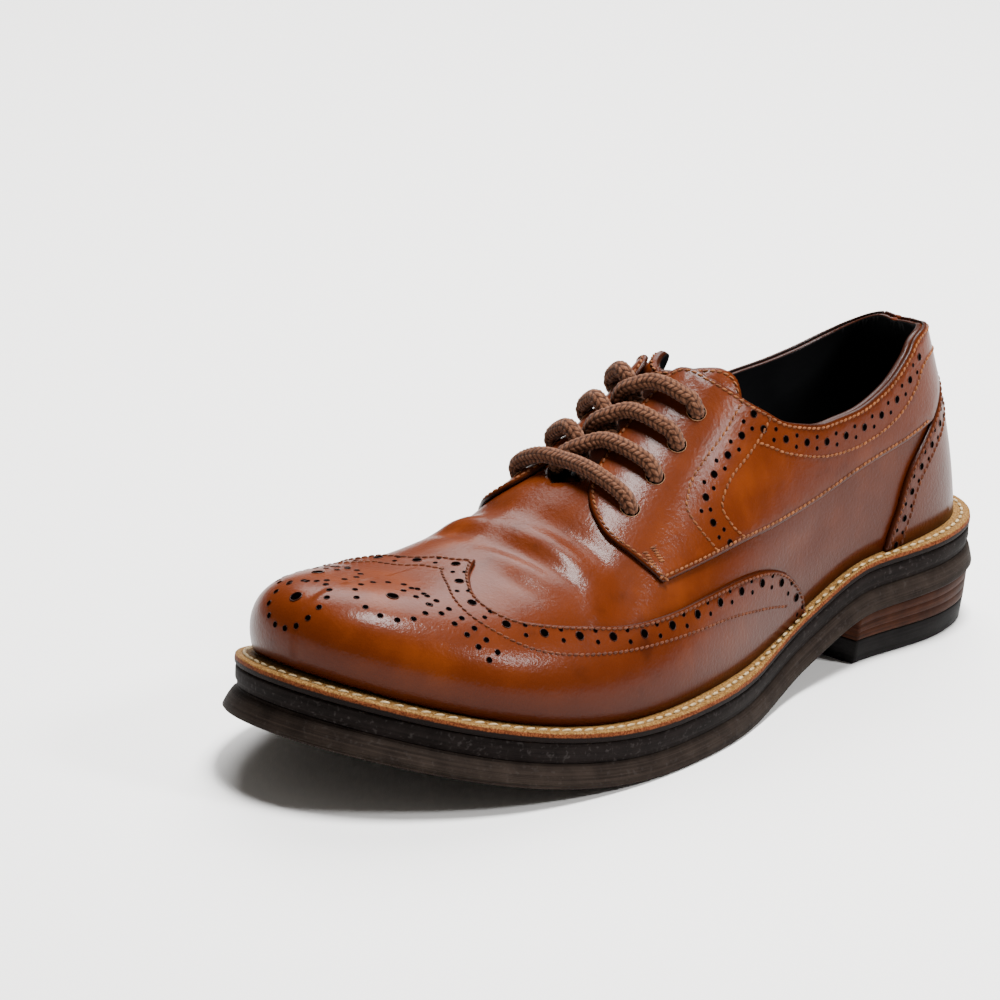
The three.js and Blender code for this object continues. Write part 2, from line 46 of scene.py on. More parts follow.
shoe = {
    "length": 291.0,
    "ballWidth": 100.0,
    "instepRise": 62.0,
    "originX": 147.13,
    "originY": 0.52,
}
sole = {
    "seatBack": 19.3,
    "seatBreast": 16.9,
    "breastAt": 74.0,
    "toeSpring": 26.0,
    "outsole": 7.2,
    "midsole": 6.3,
    "welt": 3.4,
    "weltWidth": 7.2,
    "waistNarrowing": 4.0,
    "flare": 1.6,
    "toeFlare": 2.2,
    "seam": 0.3,
    "topLift": 8.0,
    "heelInset": 1.2,
    "pileTaper": 0.8,
    "liftInset": 1.8,
    "insole": 3.0,
    "waistEnd": 0.5,  # from here on, shares of the length: where the arch is back on the ground line
    "springStart": 0.655,
    "waistRise": (0.1, 0.25),
    "waistFall": (0.36, 0.56),
    "toeFlareStart": 0.6,
}
wall = {"upper": 2.0, "panel": 1.4, "tongue": 2.6}

# Along, out, crest, bulge, fullness and lean of each section, from heel back to toe
lastColumns = [
    "alongLat", "outLat", "alongMed", "outMed", "crestX", "crestY", "bulgeLat", "bulgeMed", "full", "lean",
]
lastRows = [
    (0.010, 0, 0.010, 0, 0.125, 0, 0.015, 0.015, 2.2, 0.75),
    (0.012, 0.145, 0.012, 0.14, 0.125, 0, 0.015, 0.015, 2.2, 0.75),
    (0.056, 0.262, 0.052, 0.252, 0.135, 0, 0.02, 0.02, 2.3, 0.5),
    (0.129, 0.302, 0.126, 0.297, 0.16, -0.005, 0.02, 0.02, 2.4, 0.24),
    (0.215, 0.315, 0.215, 0.29, 0.222, -0.01, 0.015, 0.01, 2.4, 0.12),
    (0.308, 0.325, 0.308, 0.275, 0.308, -0.02, 0.02, 0.01, 2.4, 0.1),
    (0.404, 0.365, 0.404, 0.28, 0.404, -0.03, 0.02, 0.01, 2.3, 0.12),
    (0.5, 0.435, 0.5, 0.34, 0.5, -0.04, 0.02, 0.02, 2.2, 0.12),
    (0.593, 0.495, 0.596, 0.425, 0.593, -0.05, 0.02, 0.025, 2.2, 0.1),
    (0.682, 0.51, 0.689, 0.48, 0.675, -0.055, 0.02, 0.025, 2.2, 0.06),
    (0.765, 0.485, 0.775, 0.49, 0.744, -0.055, 0.02, 0.025, 2.4, 0.02),
    (0.844, 0.42, 0.856, 0.475, 0.785, -0.055, 0.02, 0.02, 2.7, 0),
    (0.912, 0.3, 0.932, 0.405, 0.802, -0.055, 0.02, 0.015, 3.4, 0),
    (0.971, 0.14, 0.988, 0.262, 0.806, -0.055, 0.02, 0.015, 3.8, 0),
    (1, -0.05, 1.006, 0.06, 0.806, -0.055, 0.02, 0.015, 3.8, 0),
]
lastTable = dict(zip(lastColumns, np.array(lastRows, float).T))
crestShares = np.array([
    1.82, 1.82, 1.83, 1.84, 1.85, 1.83, 1.74, 1.59, 1.39, 1.17, 0.98, 0.83, 0.7, 0.6, 0.51, 0.48, 0.45, 0.42,
])
toeStation = len(lastRows) - 1
ringStations = 2 * toeStation
crestStep = shoe["length"] / 15
heightStep = 10.0  # between the control points of the sole's height
sideBlend = 0.08  # share of the ball width over which the lateral bulge turns into the medial one
swellPeak = 27 / 4  # brings up * (1 - up)^2 to 1 at its highest
probe = {"station": 0.02, "turn": 0.3, "wideTurn": 0.4, "crest": (1.0, 3.0)}
mm = 0.001
far = 1e9

# The form: smooth tables, outline, height of the sole, surface


def splineOf(read, t):
    first = np.floor(t).astype(int)
    f = t - first
    weights = [
        (1 - f) ** 3 / 6,
        (3 * f**3 - 6 * f**2 + 4) / 6,
        (-3 * f**3 + 3 * f**2 + 3 * f + 1) / 6,
        f**3 / 6,
    ]
    return sum(w * read(first + j - 1) for j, w in enumerate(weights))


def smoothStep(x, low, high):
    t = np.clip((x - low) / (high - low), 0, 1)
    return t * t * (3 - 2 * t)


def rawSoleHeight(x):
    waistEnd = sole["waistEnd"] * shoe["length"]
    springStart = sole["springStart"] * shoe["length"]
    w = np.clip((x - sole["breastAt"]) / (waistEnd - sole["breastAt"]), 0, 1)
    seat = sole["seatBack"] + (sole["seatBreast"] - sole["seatBack"]) * np.maximum(0, x / sole["breastAt"])
    waist = sole["seatBreast"] * (1 - w) ** 1.7 * (1 + 0.35 * w)
    toeX = shoe["length"] + sole["weltWidth"]
    spring = sole["toeSpring"] * np.maximum(0, (x - springStart) / (toeX - springStart)) ** 1.8
    return np.where(x < sole["breastAt"], seat, np.where(x < waistEnd, waist, spring))


def soleHeight(x):
    return splineOf(lambda i: rawSoleHeight(i * heightStep), np.asarray(x, float) / heightStep)


outsoleTop = sole["outsole"]
midsoleFoot = outsoleTop + sole["seam"]
midsoleTop = midsoleFoot + sole["midsole"]
weltFoot = midsoleTop + sole["seam"]
weltTop = weltFoot + sole["welt"]
featherLevel = weltTop + sole["seam"]

outlineX = np.concatenate([lastTable["alongLat"], lastTable["alongMed"][-2:0:-1]]) * shoe["length"]
outlineY = np.concatenate([lastTable["outLat"], -lastTable["outMed"][-2:0:-1]]) * shoe["ballWidth"]


def outlineAt(u):
    x = splineOf(lambda i: outlineX[i % ringStations], u)
    y = splineOf(lambda i: outlineY[i % ringStations], u)
    return np.stack([x, y], -1)


def outlineNormal(u):
    along = outlineAt(u + 1e-3) - outlineAt(u - 1e-3)
    along /= np.linalg.norm(along, axis=-1, keepdims=True)
    return np.stack([-along[..., 1], along[..., 0]], -1)


def columnAt(name, s):
    def read(i):
        k = np.abs(i)
        return lastTable[name][np.where(k > toeStation, ringStations - k, k)]

    return splineOf(read, s)


def crestRise(x):
    t = x / crestStep + 1
    return shoe["instepRise"] * splineOf(lambda i: crestShares[np.clip(i, 0, len(crestShares) - 1)], t)


def lastPoint(u, angle):
    ring = np.mod(u, ringStations)
    s = np.minimum(ring, ringStations - ring)
    foot = outlineAt(ring)
    crestX = columnAt("crestX", s) * shoe["length"]
    crestY = columnAt("crestY", s) * shoe["ballWidth"]
    full = columnAt("full", s)
    c = np.maximum(np.cos(np.radians(angle)), 0)
    d = np.maximum(np.sin(np.radians(angle)), 0)
    radius = (c**full + d**full) ** (-1 / full)
    up = np.minimum(d * radius, 1)
    out = c * radius * (1 - columnAt("lean", s) * up)
    blend = smoothStep(foot[..., 1], -sideBlend * shoe["ballWidth"], sideBlend * shoe["ballWidth"])
    share = columnAt("bulgeMed", s) * (1 - blend) + columnAt("bulgeLat", s) * blend
    swell = share * shoe["ballWidth"] * swellPeak * up * (1 - up) ** 2
    normal = outlineNormal(ring)
    x = crestX + out * (foot[..., 0] - crestX) + normal[..., 0] * swell
    y = crestY + out * (foot[..., 1] - crestY) + normal[..., 1] * swell
    return np.stack([x, y, soleHeight(x) + featherLevel + up * crestRise(x)], -1)


# Surface places are (station, turn): turn 0 is the lateral seam, 90 the crest, 180 the medial seam.
# Gives the points, moved out by the offset but kept above the feather line, and the normals.
def formPoint(station, turn, offset=0.0):
    station, turn, offset = np.broadcast_arrays(
        np.asarray(station, float), np.asarray(turn, float), np.asarray(offset, float)
    )

    def at(s, t):
        lateral = t <= 90
        return lastPoint(np.where(lateral, s, ringStations - s), np.where(lateral, t, 180 - t))

    t = np.clip(turn, probe["turn"], 180 - probe["turn"])
    across = at(station, t + probe["turn"]) - at(station, t - probe["turn"])
    around = at(station + probe["station"], turn) - at(station - probe["station"], turn)
    normal = np.cross(across, around)
    size = np.linalg.norm(normal, axis=-1, keepdims=True)
    normal = normal / np.maximum(size, 1e-9)
    crestX = columnAt("crestX", station) * shoe["length"]
    fall = soleHeight(crestX + 1) + crestRise(crestX + 1) - soleHeight(crestX - 1) - crestRise(crestX - 1)
    crest = np.stack([-fall, 0 * fall, 2 + 0 * fall], -1)
    crest /= np.linalg.norm(crest, axis=-1, keepdims=True)
    away = smoothStep(np.abs(turn - 90), *probe["crest"])[..., None]
    normal = crest * (1 - away) + normal * away
    normal /= np.maximum(np.linalg.norm(normal, axis=-1, keepdims=True), 1e-9)
    p = at(station, turn)
    q = p + normal * offset[..., None]
    q[..., 2] = np.maximum(q[..., 2], soleHeight(q[..., 0]) + featherLevel)
    return q, normal


def toFrame(points):
    p = np.array(points, float)
    p[..., 0] -= shoe["originX"]
    p[..., 1] -= shoe["originY"]
    return p * mm


def linked(name, data):
    made = bpy.data.objects.new(name, data)
    bpy.context.scene.collection.objects.link(made)
    return made


# Creases worn into the vamp: station and turn of both ends, then half width and rise in millimetres
creases = [
    {"from": (8.95, 84), "to": (8.75, 47), "width": 5.0, "rise": -1.5},
    {"from": (9.3, 92), "to": (9.15, 50), "width": 4.5, "rise": 1.3},
    {"from": (9.75, 86), "to": (9.35, 52), "width": 3.6, "rise": -1.2},
    {"from": (10.05, 84), "to": (9.75, 56), "width": 3.4, "rise": 0.8},
    {"from": (8.6, 44), "to": (9.1, 36), "width": 4.2, "rise": -0.9},
    {"from": (9.3, 44), "to": (9.5, 37), "width": 3.8, "rise": 0.7},
    {"from": (10.3, 70), "to": (10.1, 55), "width": 3.0, "rise": -0.6},
    {"from": (8.95, 96), "to": (8.8, 128), "width": 5.0, "rise": -1.4},
    {"from": (9.3, 98), "to": (9.2, 126), "width": 4.4, "rise": 1.2},
    {"from": (9.7, 94), "to": (9.5, 120), "width": 3.6, "rise": -1.1},
    {"from": (8.7, 132), "to": (9.2, 143), "width": 4.0, "rise": -0.8},
    {"from": (5.0, 12), "to": (6.1, 13), "width": 6.0, "rise": -0.5},
    {"from": (5.0, 168), "to": (6.1, 167), "width": 6.0, "rise": -0.5},
]


creaseFade = {"points": 9, "start": 0.12}  # points along each crease, and how far in its fade begins


def creaseRise(station, turn):
    place = formPoint(station, turn)[0]
    rise = np.zeros(place.shape[:-1])
    for crease in creases:
        run = np.linspace(crease["from"], crease["to"], creaseFade["points"])
        path = formPoint(run[:, 0], run[:, 1])[0]
        best = np.full(rise.shape, far)
        along = np.zeros(rise.shape)
        for k in range(len(path) - 1):
            step = path[k + 1] - path[k]
            t = np.clip(((place - path[k]) @ step) / (step @ step), 0, 1)
            gap = np.linalg.norm(place - path[k] - t[..., None] * step, axis=-1)
            along = np.where(gap < best, (k + t) / (len(path) - 1), along)
            best = np.minimum(best, gap)
        fade = np.sin(np.pi * (creaseFade["start"] + (1 - 2 * creaseFade["start"]) * along))
        rise += crease["rise"] * fade * np.exp(-((best / crease["width"]) ** 2))
    return rise


# Panel edges in pairs of station and turn, smoothed


# A curve through all of the points, with even shares of it between each two
def smoothEdge(pairs, perSpan=12):
    points = np.array(pairs, float)
    ends = np.vstack([2 * points[0] - points[1], points, 2 * points[-1] - points[-2]])
    t = np.arange((len(points) - 1) * perSpan + 1) / perSpan
    k = np.minimum(t.astype(int), len(points) - 2)
    f = (t - k)[:, None]
    a, b, c, d = ends[k], ends[k + 1], ends[k + 2], ends[k + 3]
    return 0.5 * (2 * b + (c - a) * f + (2 * a - 5 * b + 4 * c - d) * f**2 + (3 * b - a - 3 * c + d) * f**3)


def turnedOver(side):
    return np.stack([side[:, 0], 180 - side[:, 1]], -1)


facingTop = (6.42, 65)
facingToe = (8.23, 35.6)
toplineBack = [(0, 33.2), (0.7, 33.6)]
toplineFront = [(5.27, 31.4), (5.7, 37.2), (5.95, 43.3), (6.15, 49.7), (6.3, 57), facingTop]
wingApex = (10.45, 79.5)
wingSide = [
    (5.48, 0), (5.57, 3.8), (5.71, 7), (5.99, 12), (6.43, 16.9), (6.94, 20.7), (7.57, 23.9), (8.24, 27),
    (8.93, 31.3), (9.66, 37.7), (10.24, 42.4), (10.73, 46.8), (11.03, 52.3), (11.17, 59), (11.08, 67),
]
edges = {
    "topline": smoothEdge([
        *toplineBack, (1.3, 33.8), (2, 34.4), (2.84, 33.8), (3.3, 31), (3.85, 27.8), (4.4, 26.6),
        (4.93, 28.7), *toplineFront,
    ]),
    "medialTopline": smoothEdge([
        *toplineBack, (1.3, 32.6), (1.9, 30.6), (2.5, 28.2), (3.1, 26.2), (3.75, 25.4), (4.4, 26),
        (4.93, 28.6), *toplineFront,
    ]),
    "throat": smoothEdge([facingTop, (6.55, 69), (6.9, 71), (7.5, 72.5), (8.1, 79), (8.35, 90)]),
    "facing": smoothEdge([
        facingTop, (6.49, 73), (6.6, 79.5), (6.85, 82), (7.5, 81.5), (8.1, 77), (8.32, 72.5), (8.47, 66.5),
        (8.55, 57.6), (8.43, 47.4), facingToe,
    ]),
    "quarterFoot": smoothEdge([
        facingToe, (7.6, 31.8), (6.85, 27.3), (6.08, 22), (5.27, 18.2), (4.46, 16.5), (3.61, 17.2),
        (2.88, 18.4),
    ]),
    "counter": smoothEdge([
        (3.85, 0), (3.75, 3.5), (3.62, 6.5), (3.5, 10), (3.28, 13.5), (2.85, 17.2), (2.3, 20.8), (1.6, 25),
        (1.05, 28), (0.7, 33.6),
    ]),
    "wing": smoothEdge([*wingSide, (10.84, 74), wingApex]),
    "wingMedial": smoothEdge([
        wingApex, (10.64, 82.5), (10.87, 85.8), (11.1, 90), (11.26, 98), (11.24, 105),
        *[(station, 180 - turn) for station, turn in wingSide[::-1]],
    ]),
    "tongue": smoothEdge([
        (6.6, 90), (6.54, 80), (6.38, 71), (6.18, 62), (6.08, 54), (6.2, 47), (6.6, 47), (7.4, 50),
        (8.2, 55), (8.75, 65), (8.95, 78), (9, 90),
    ]),
}


# Points spaced evenly along a path of places, measured on the form
def spaced(path, step):
    place = formPoint(path[:, 0], path[:, 1])[0]
    run = np.concatenate([[0], np.cumsum(np.linalg.norm(np.diff(place, axis=0), axis=1))])
    count = max(2, int(round(run[-1] / step)) + 1)
    want = np.linspace(0, run[-1], count)
    return np.stack([np.interp(want, run, path[:, 0]), np.interp(want, run, path[:, 1])], -1)


# Places walked over the form, each along its own direction, by a distance in millimetres
def walked(places, directions, distance, longest=1.5):
    places = np.array(places, float)
    count = max(1, math.ceil(np.max(np.abs(distance)) / longest))
    for _ in range(count):
        station, turn = places[:, 0], places[:, 1]
        normal = formPoint(station, turn)[1]
        directions = directions - normal * np.sum(directions * normal, 1, keepdims=True)
        directions = directions / np.maximum(np.linalg.norm(directions, axis=1, keepdims=True), 1e-9)
        step = directions * np.reshape(distance, (-1, 1)) / count
        s, t = probe["station"], probe["wideTurn"]
        byStation = (formPoint(station + s, turn)[0] - formPoint(station - s, turn)[0]) / (2 * s)
        byTurn = (formPoint(station, turn + t)[0] - formPoint(station, turn - t)[0]) / (2 * t)
        pairs = (byStation, byStation), (byStation, byTurn), (byTurn, byTurn)
        aa, ab, bb = (np.sum(p * q, 1) for p, q in pairs)
        sa, sb = np.sum(byStation * step, 1), np.sum(byTurn * step, 1)
        size = np.maximum(aa * bb - ab**2, 1e-6)
        places += np.stack([(bb * sa - ab * sb) / size, (aa * sb - ab * sa) / size], -1)
    return places


# The same path moved sideways on the surface, to its left as it runs
def movedPath(path, distance):
    place, normal = formPoint(path[:, 0], path[:, 1])
    along = np.gradient(place, axis=0)
    return walked(path, np.cross(normal, along), distance)


def meshFrom(name, points, faces, attributes=None, materials=(), faceMaterials=None):
    mesh = bpy.data.meshes.new(name)
    mesh.from_pydata([tuple(p) for p in points], [], [tuple(int(i) for i in f) for f in faces])
    mesh.update()
    for key, values in (attributes or {}).items():
        mesh.attributes.new(key, "FLOAT", "POINT").data.foreach_set("value", np.asarray(values, np.float32))
    for material in materials:
        mesh.materials.append(material)
    if faceMaterials is not None:
        mesh.polygons.foreach_set("material_index", np.asarray(faceMaterials, np.int32))
    mesh.shade_smooth()
    return linked(name, mesh)


# Points that meet become one, and the two walls that then stand back to back inside are dropped
def weld(mesh, distance):
    bmesh.ops.remove_doubles(mesh, verts=mesh.verts, dist=distance)
    seen = {}
    for face in mesh.faces:
        seen.setdefault(tuple(sorted(v.index for v in face.verts)), []).append(face)
    bmesh.ops.delete(mesh, geom=[f for same in seen.values() if len(same) > 1 for f in same], context="FACES")


# Distance from each point to the nearest of the others, in batches that spare memory
def nearest(points, others, scale=1.0, batch=64):
    gap = np.full(len(points), far)
    for start in range(0, len(others), batch):
        part = others[start:start + batch]
        gap = np.minimum(gap, np.min(np.linalg.norm((points[:, None] - part[None]) * scale, axis=2), axis=1))
    return gap


# Every sewn sheet: spacing along its edge and inside it, clear band, and the roll of its cut edge
sheet = {
    "edgeStep": 1.6, "stationStep": 0.1, "turnStep": 1.5, "stretch": (20.0, 1.0), "clear": 1.7,
    "roll": 0.9, "rollRows": (0.35, 1.0), "rollDepth": 0.55, "weld": 2e-6, "seamWeld": 4e-6,
}


# A sewn panel: the inside of an outline on the form, given side by side, as a sheet with rolled edges.
# Turns run 0 to 180 over the crest, so one outline may take in both sides.
def panelPiece(name, outline, inner, outer, materials, roll=sheet["roll"], rise=None):
    loop = np.vstack([spaced(np.asarray(side, float), sheet["edgeStep"])[:-1] for side in outline])
    closed = np.vstack([loop[-1:], loop, loop[:1]])
    area = np.sum(loop[:, 0] * np.roll(loop[:, 1], -1) - np.roll(loop[:, 0], -1) * loop[:, 1])
    station, turn = loop.T
    free = (turn >= 0.05) & (turn <= 179.95) & (station >= 0.01) & (station <= toeStation - 0.01)
    insets = [movedPath(closed, -np.sign(area) * roll * share)[1:-1][free] for share in sheet["rollRows"]]
    low, high = loop.min(0), loop.max(0)
    stations = np.linspace(low[0], high[0], int((high[0] - low[0]) / sheet["stationStep"]) + 2)
    turns = np.linspace(low[1], high[1], int((high[1] - low[1]) / sheet["turnStep"]) + 2)
    inside = np.stack(np.meshgrid(stations, turns, indexing="ij"), -1).reshape(-1, 2)
    scale = np.array(sheet["stretch"])  # a station and a turn are then about the same length
    inside = inside[nearest(inside, loop, scale) > sheet["clear"]]
    vertices = [Vector(p * scale) for p in np.vstack([loop, *insets, inside])]
    ring = [(i, (i + 1) % len(loop)) for i in range(len(loop))]
    points, _, triangles, _, _, _ = delaunay_2d_cdt(vertices, ring, [list(range(len(loop)))], 1, 1e-6)
    places = np.array([tuple(p) for p in points]) / scale
    rim = nearest(formPoint(places[:, 0], places[:, 1])[0], formPoint(loop[free, 0], loop[free, 1])[0])
    added = rise(places[:, 0], places[:, 1]) if rise else 0.0
    rolled = 1 - np.sqrt(1 - (1 - np.clip(rim / roll, 0, 1)) ** 2)
    top = outer - (outer - inner) * sheet["rollDepth"] * rolled + added
    front, _ = formPoint(places[:, 0], places[:, 1], top)
    back, _ = formPoint(places[:, 0], places[:, 1], np.full(len(places), inner) + added)
    count = len(places)
    corners = np.array([list(t) for t in triangles])
    a, b, c = (places[corners[:, k]] for k in range(3))
    turned = (b[:, 0] - a[:, 0]) * (c[:, 1] - a[:, 1]) - (b[:, 1] - a[:, 1]) * (c[:, 0] - a[:, 0]) > 0
    corners[turned] = corners[turned][:, ::-1]
    sides = {side: True for p, q, r in corners for side in ((p, q), (q, r), (r, p))}
    walls = [(q, p, p + count, q + count) for p, q in sides if (q, p) not in sides]
    faces = [tuple(t) for t in corners] + [(r + count, q + count, p + count) for p, q, r in corners] + walls
    kinds = [0] * len(corners) + [len(materials) - 1] * len(corners) + [0] * len(walls)
    piece = meshFrom(
        name,
        toFrame(np.vstack([front, back])),
        faces,
        {
            "rim": np.concatenate([rim, rim]),
            "station": np.concatenate([places[:, 0]] * 2),
            "low": np.concatenate([np.abs(places[:, 1] - 90)] * 2),
        },
        materials,
        kinds,
    )
    mesh = bmesh.new()
    mesh.from_mesh(piece.data)
    weld(mesh, sheet["weld"])
    bmesh.ops.dissolve_degenerate(mesh, dist=1e-7, edges=mesh.edges)
    mesh.to_mesh(piece.data)
    mesh.free()
    return piece


# Materials


def addNode(tree, kind, values=None, **settings):
    node = tree.nodes.new(kind)
    for key, value in settings.items():
        setattr(node, key, value)
    for key, value in (values or {}).items():
        if isinstance(value, bpy.types.NodeSocket):
            tree.links.new(value, node.inputs[key])
        else:
            node.inputs[key].default_value = value
    return node


def startMaterial(name, roughness, coat=0.0, coatRoughness=0.1, sheen=0.0, specular=0.15):
    material = bpy.data.materials.new(name)
    material.use_nodes = True
    tree = material.node_tree
    tree.nodes.clear()
    shader = addNode(tree, "ShaderNodeBsdfPrincipled")
    out = addNode(tree, "ShaderNodeOutputMaterial")
    tree.links.new(shader.outputs["BSDF"], out.inputs["Surface"])
    shader.inputs["Roughness"].default_value = roughness
    shader.inputs["Specular IOR Level"].default_value = specular
    shader.inputs["Coat Weight"].default_value = coat
    shader.inputs["Coat Roughness"].default_value = coatRoughness
    shader.inputs["Sheen Weight"].default_value = sheen
    return material, tree, shader


def ramp(tree, factor, stops):
    node = addNode(tree, "ShaderNodeValToRGB", {"Fac": factor})
    node.color_ramp.interpolation = "EASE"
    while len(node.color_ramp.elements) < len(stops):
        node.color_ramp.elements.new(0.5)
    for element, (place, color) in zip(node.color_ramp.elements, stops):
        element.position = place
        element.color = (*color, 1) if isinstance(color, tuple) else (color, color, color, 1)
    return node.outputs["Color"]


def mixColor(tree, factor, a, b, mode="MIX"):
    node = tree.nodes.new("ShaderNodeMix")
    node.data_type = "RGBA"
    node.blend_type = mode
    for socket, value in zip((node.inputs[k] for k in (0, 6, 7)), (factor, a, b)):
        if isinstance(value, bpy.types.NodeSocket):
            tree.links.new(value, socket)
        else:
            socket.default_value = (*value, 1) if isinstance(value, tuple) else value
    return node.outputs[2]


def noise(tree, place, scale, detail=2.0, roughness=0.5):
    values = {"Vector": place, "Scale": scale, "Detail": detail, "Roughness": roughness}
    return addNode(tree, "ShaderNodeTexNoise", values).outputs["Fac"]


def attribute(tree, name):
    return addNode(tree, "ShaderNodeAttribute", attribute_name=name).outputs["Fac"]


def times(tree, a, b):
    return addNode(tree, "ShaderNodeMath", {0: a, 1: b}, operation="MULTIPLY").outputs[0]


def plus(tree, a, b):
    return addNode(tree, "ShaderNodeMath", {0: a, 1: b}, operation="ADD").outputs[0]


def bump(tree, shader, *layers):
    last = None
    for height, strength, distance in layers:
        node = addNode(tree, "ShaderNodeBump", {"Height": height, "Strength": strength, "Distance": distance})
        if last:
            tree.links.new(last, node.inputs["Normal"])
        last = node.outputs["Normal"]
    for key in ("Normal", "Coat Normal"):
        tree.links.new(last, shader.inputs[key])


leather = {
    "bright": (0.11, 0.0205, 0.0022),
    "middle": (0.072, 0.0118, 0.0012),
    "dark": (0.027, 0.004, 0.0006),
    "edge": (0.01, 0.002, 0.0006),
    "roughness": 0.36,
    "specular": 0.05,
    "coat": 0.1,
    "coatRoughness": 0.13,
}


# Burnished leather: cloudy tan, darker low down, at the toe and along each cut edge; given a shade attribute,
# it also takes painted shade in near black
def burnishedLeather(name, tone=1.0, shade=None):
    material, tree, shader = startMaterial(
        name, leather["roughness"], leather["coat"], leather["coatRoughness"], specular=leather["specular"]
    )
    place = addNode(tree, "ShaderNodeTexCoord").outputs["Object"]
    cloud = noise(tree, place, 28, 4, 0.6)
    streak = noise(tree, place, 110, 3, 0.6)
    mixed = plus(tree, times(tree, cloud, 0.75), times(tree, streak, 0.25))
    stops = [(0.24, leather["dark"]), (0.46, leather["middle"]), (0.74, leather["bright"])]
    color = ramp(tree, mixed, [(p, tuple(c * tone for c in col)) for p, col in stops])
    burn = ramp(tree, times(tree, attribute(tree, "low"), 1 / 90), [(0.6, 0.0), (1.0, 0.7)])
    color = mixColor(tree, burn, color, leather["dark"])
    rim = ramp(tree, times(tree, attribute(tree, "rim"), 0.25), [(0.0, 0.85), (0.2, 0.3), (0.8, 0.0)])
    color = mixColor(tree, rim, color, leather["edge"])
    # Painted shade: where the shade attribute is high, the colour goes to near black
    if shade:
        paintedShade = ramp(tree, attribute(tree, shade), [(0.0, 0.0), (1.0, 0.93)])
        color = mixColor(tree, paintedShade, color, (0.002, 0.0006, 0.0004))
    tree.links.new(color, shader.inputs["Base Color"])
    bump(
        tree, shader,
        (noise(tree, place, 60, 2, 0.4), 0.12, 0.0015),
        (noise(tree, place, 800, 3, 0.6), 0.8, 0.00014),
    )
    return material


def plainMaterial(name, low, high, roughness, scale, grain=900.0, strength=0.25, sheen=0.0, specular=0.15):
    material, tree, shader = startMaterial(name, roughness, sheen=sheen, specular=specular)
    place = addNode(tree, "ShaderNodeTexCoord").outputs["Object"]
    color = ramp(tree, noise(tree, place, scale, 4), [(0.3, low), (0.7, high)])
    tree.links.new(color, shader.inputs["Base Color"])
    bump(tree, shader, (noise(tree, place, grain, 3), strength, 0.0002))
    return material


# Sole edges run in rings, so their lines follow the piece's own map: along in u, up the side in v
def ringedMaterial(name, low, high, roughness, lines, strength, coat=0.0, speck=0.0):
    material, tree, shader = startMaterial(name, roughness, coat, 0.25, specular=0.04)
    coordinate = addNode(tree, "ShaderNodeTexCoord")
    place = coordinate.outputs["Object"]
    values = {"Vector": coordinate.outputs["UV"], "Scale": (14.0, lines, 1.0)}
    along = noise(tree, addNode(tree, "ShaderNodeMapping", values).outputs["Vector"], 1.0, 4, 0.7)
    mottled = noise(tree, place, 140, 4)
    mixed = plus(tree, times(tree, along, 0.65), times(tree, mottled, 0.35))
    color = ramp(tree, mixed, [(0.34, low), (0.66, high)])
    if speck:
        dots = ramp(tree, noise(tree, place, 700, 2), [(0.55, 0.0), (0.75, speck)])
        color = mixColor(tree, dots, color, (0.1, 0.088, 0.085))
    tree.links.new(color, shader.inputs["Base Color"])
    bump(tree, shader, (along, strength, 0.0004), (noise(tree, place, 1100, 3), 0.25, 0.00015))
    return material


# The welt is dark where its side meets the midsole, reddish at its lip and golden on top
def weltMaterial():
    material, tree, shader = startMaterial("weltLeather", 0.6, specular=0.03)
    coordinate = addNode(tree, "ShaderNodeTexCoord")
    place = coordinate.outputs["Object"]
    level = addNode(tree, "ShaderNodeSeparateXYZ", {"Vector": coordinate.outputs["UV"]}).outputs["Y"]
    grain = noise(tree, place, 1700, 3, 0.7)
    golden = [(0.36, (0.075, 0.034, 0.009)), (0.5, (0.15, 0.075, 0.022)), (0.66, (0.27, 0.16, 0.06))]
    top = ramp(tree, grain, golden)
    lip = ramp(tree, grain, [(0.36, (0.05, 0.012, 0.004)), (0.66, (0.15, 0.045, 0.016))])
    level = plus(tree, level, times(tree, noise(tree, place, 300, 2), 0.0004))
    height = times(tree, level, 100.0)  # in centimetres, so that the ramps can read it
    color = mixColor(tree, ramp(tree, height, [(0.31, 0.0), (0.36, 1.0)]), lip, top)
    color = mixColor(tree, ramp(tree, height, [(0.19, 0.0), (0.24, 1.0)]), (0.007, 0.005, 0.0045), color)
    tree.links.new(color, shader.inputs["Base Color"])
    bump(tree, shader, (grain, 0.55, 0.0003))
    return material


upperLeather = burnishedLeather("upperLeather")
weltLeather = weltMaterial()
panelLeather = burnishedLeather("panelLeather", 1.04)
liningLeather = plainMaterial("liningLeather", (0.002, 0.002, 0.0025), (0.005, 0.005, 0.0055), 0.55, 40, 700)
tongueLeather = burnishedLeather("tongueLeather", 1.1, "shade")
midsoleEdge = ringedMaterial(
    "midsoleEdge", (0.0034, 0.0023, 0.002), (0.0094, 0.0068, 0.0062), 0.7, 500, 0.4, speck=0.16
)
outsoleEdge = ringedMaterial(
    "outsoleEdge", (0.008, 0.0054, 0.0042), (0.022, 0.0155, 0.012), 0.7, 1400, 0.6, speck=0.08
)
heelLeather = ringedMaterial("heelLeather", (0.012, 0.0036, 0.0016), (0.036, 0.0115, 0.005), 0.6, 1100, 0.4)
topLiftRubber = ringedMaterial(
    "topLiftRubber", (0.0028, 0.0024, 0.0024), (0.0075, 0.0066, 0.0064), 0.6, 700, 0.4
)
threadFinish = {"roughness": 0.7, "scale": 500, "grain": 4000, "strength": 0.6}
seamThread, paleThread, weltThread = (
    plainMaterial(name, low, high, sheen=sheen, **threadFinish)
    for name, low, high, sheen in (
        ("seamThread", (0.036, 0.008, 0.002), (0.095, 0.024, 0.006), 0.05),
        ("paleThread", (0.07, 0.02, 0.0045), (0.19, 0.062, 0.017), 0.05),
        ("weltThread", (0.25, 0.17, 0.08), (0.45, 0.34, 0.19), 0.15),
    )
)
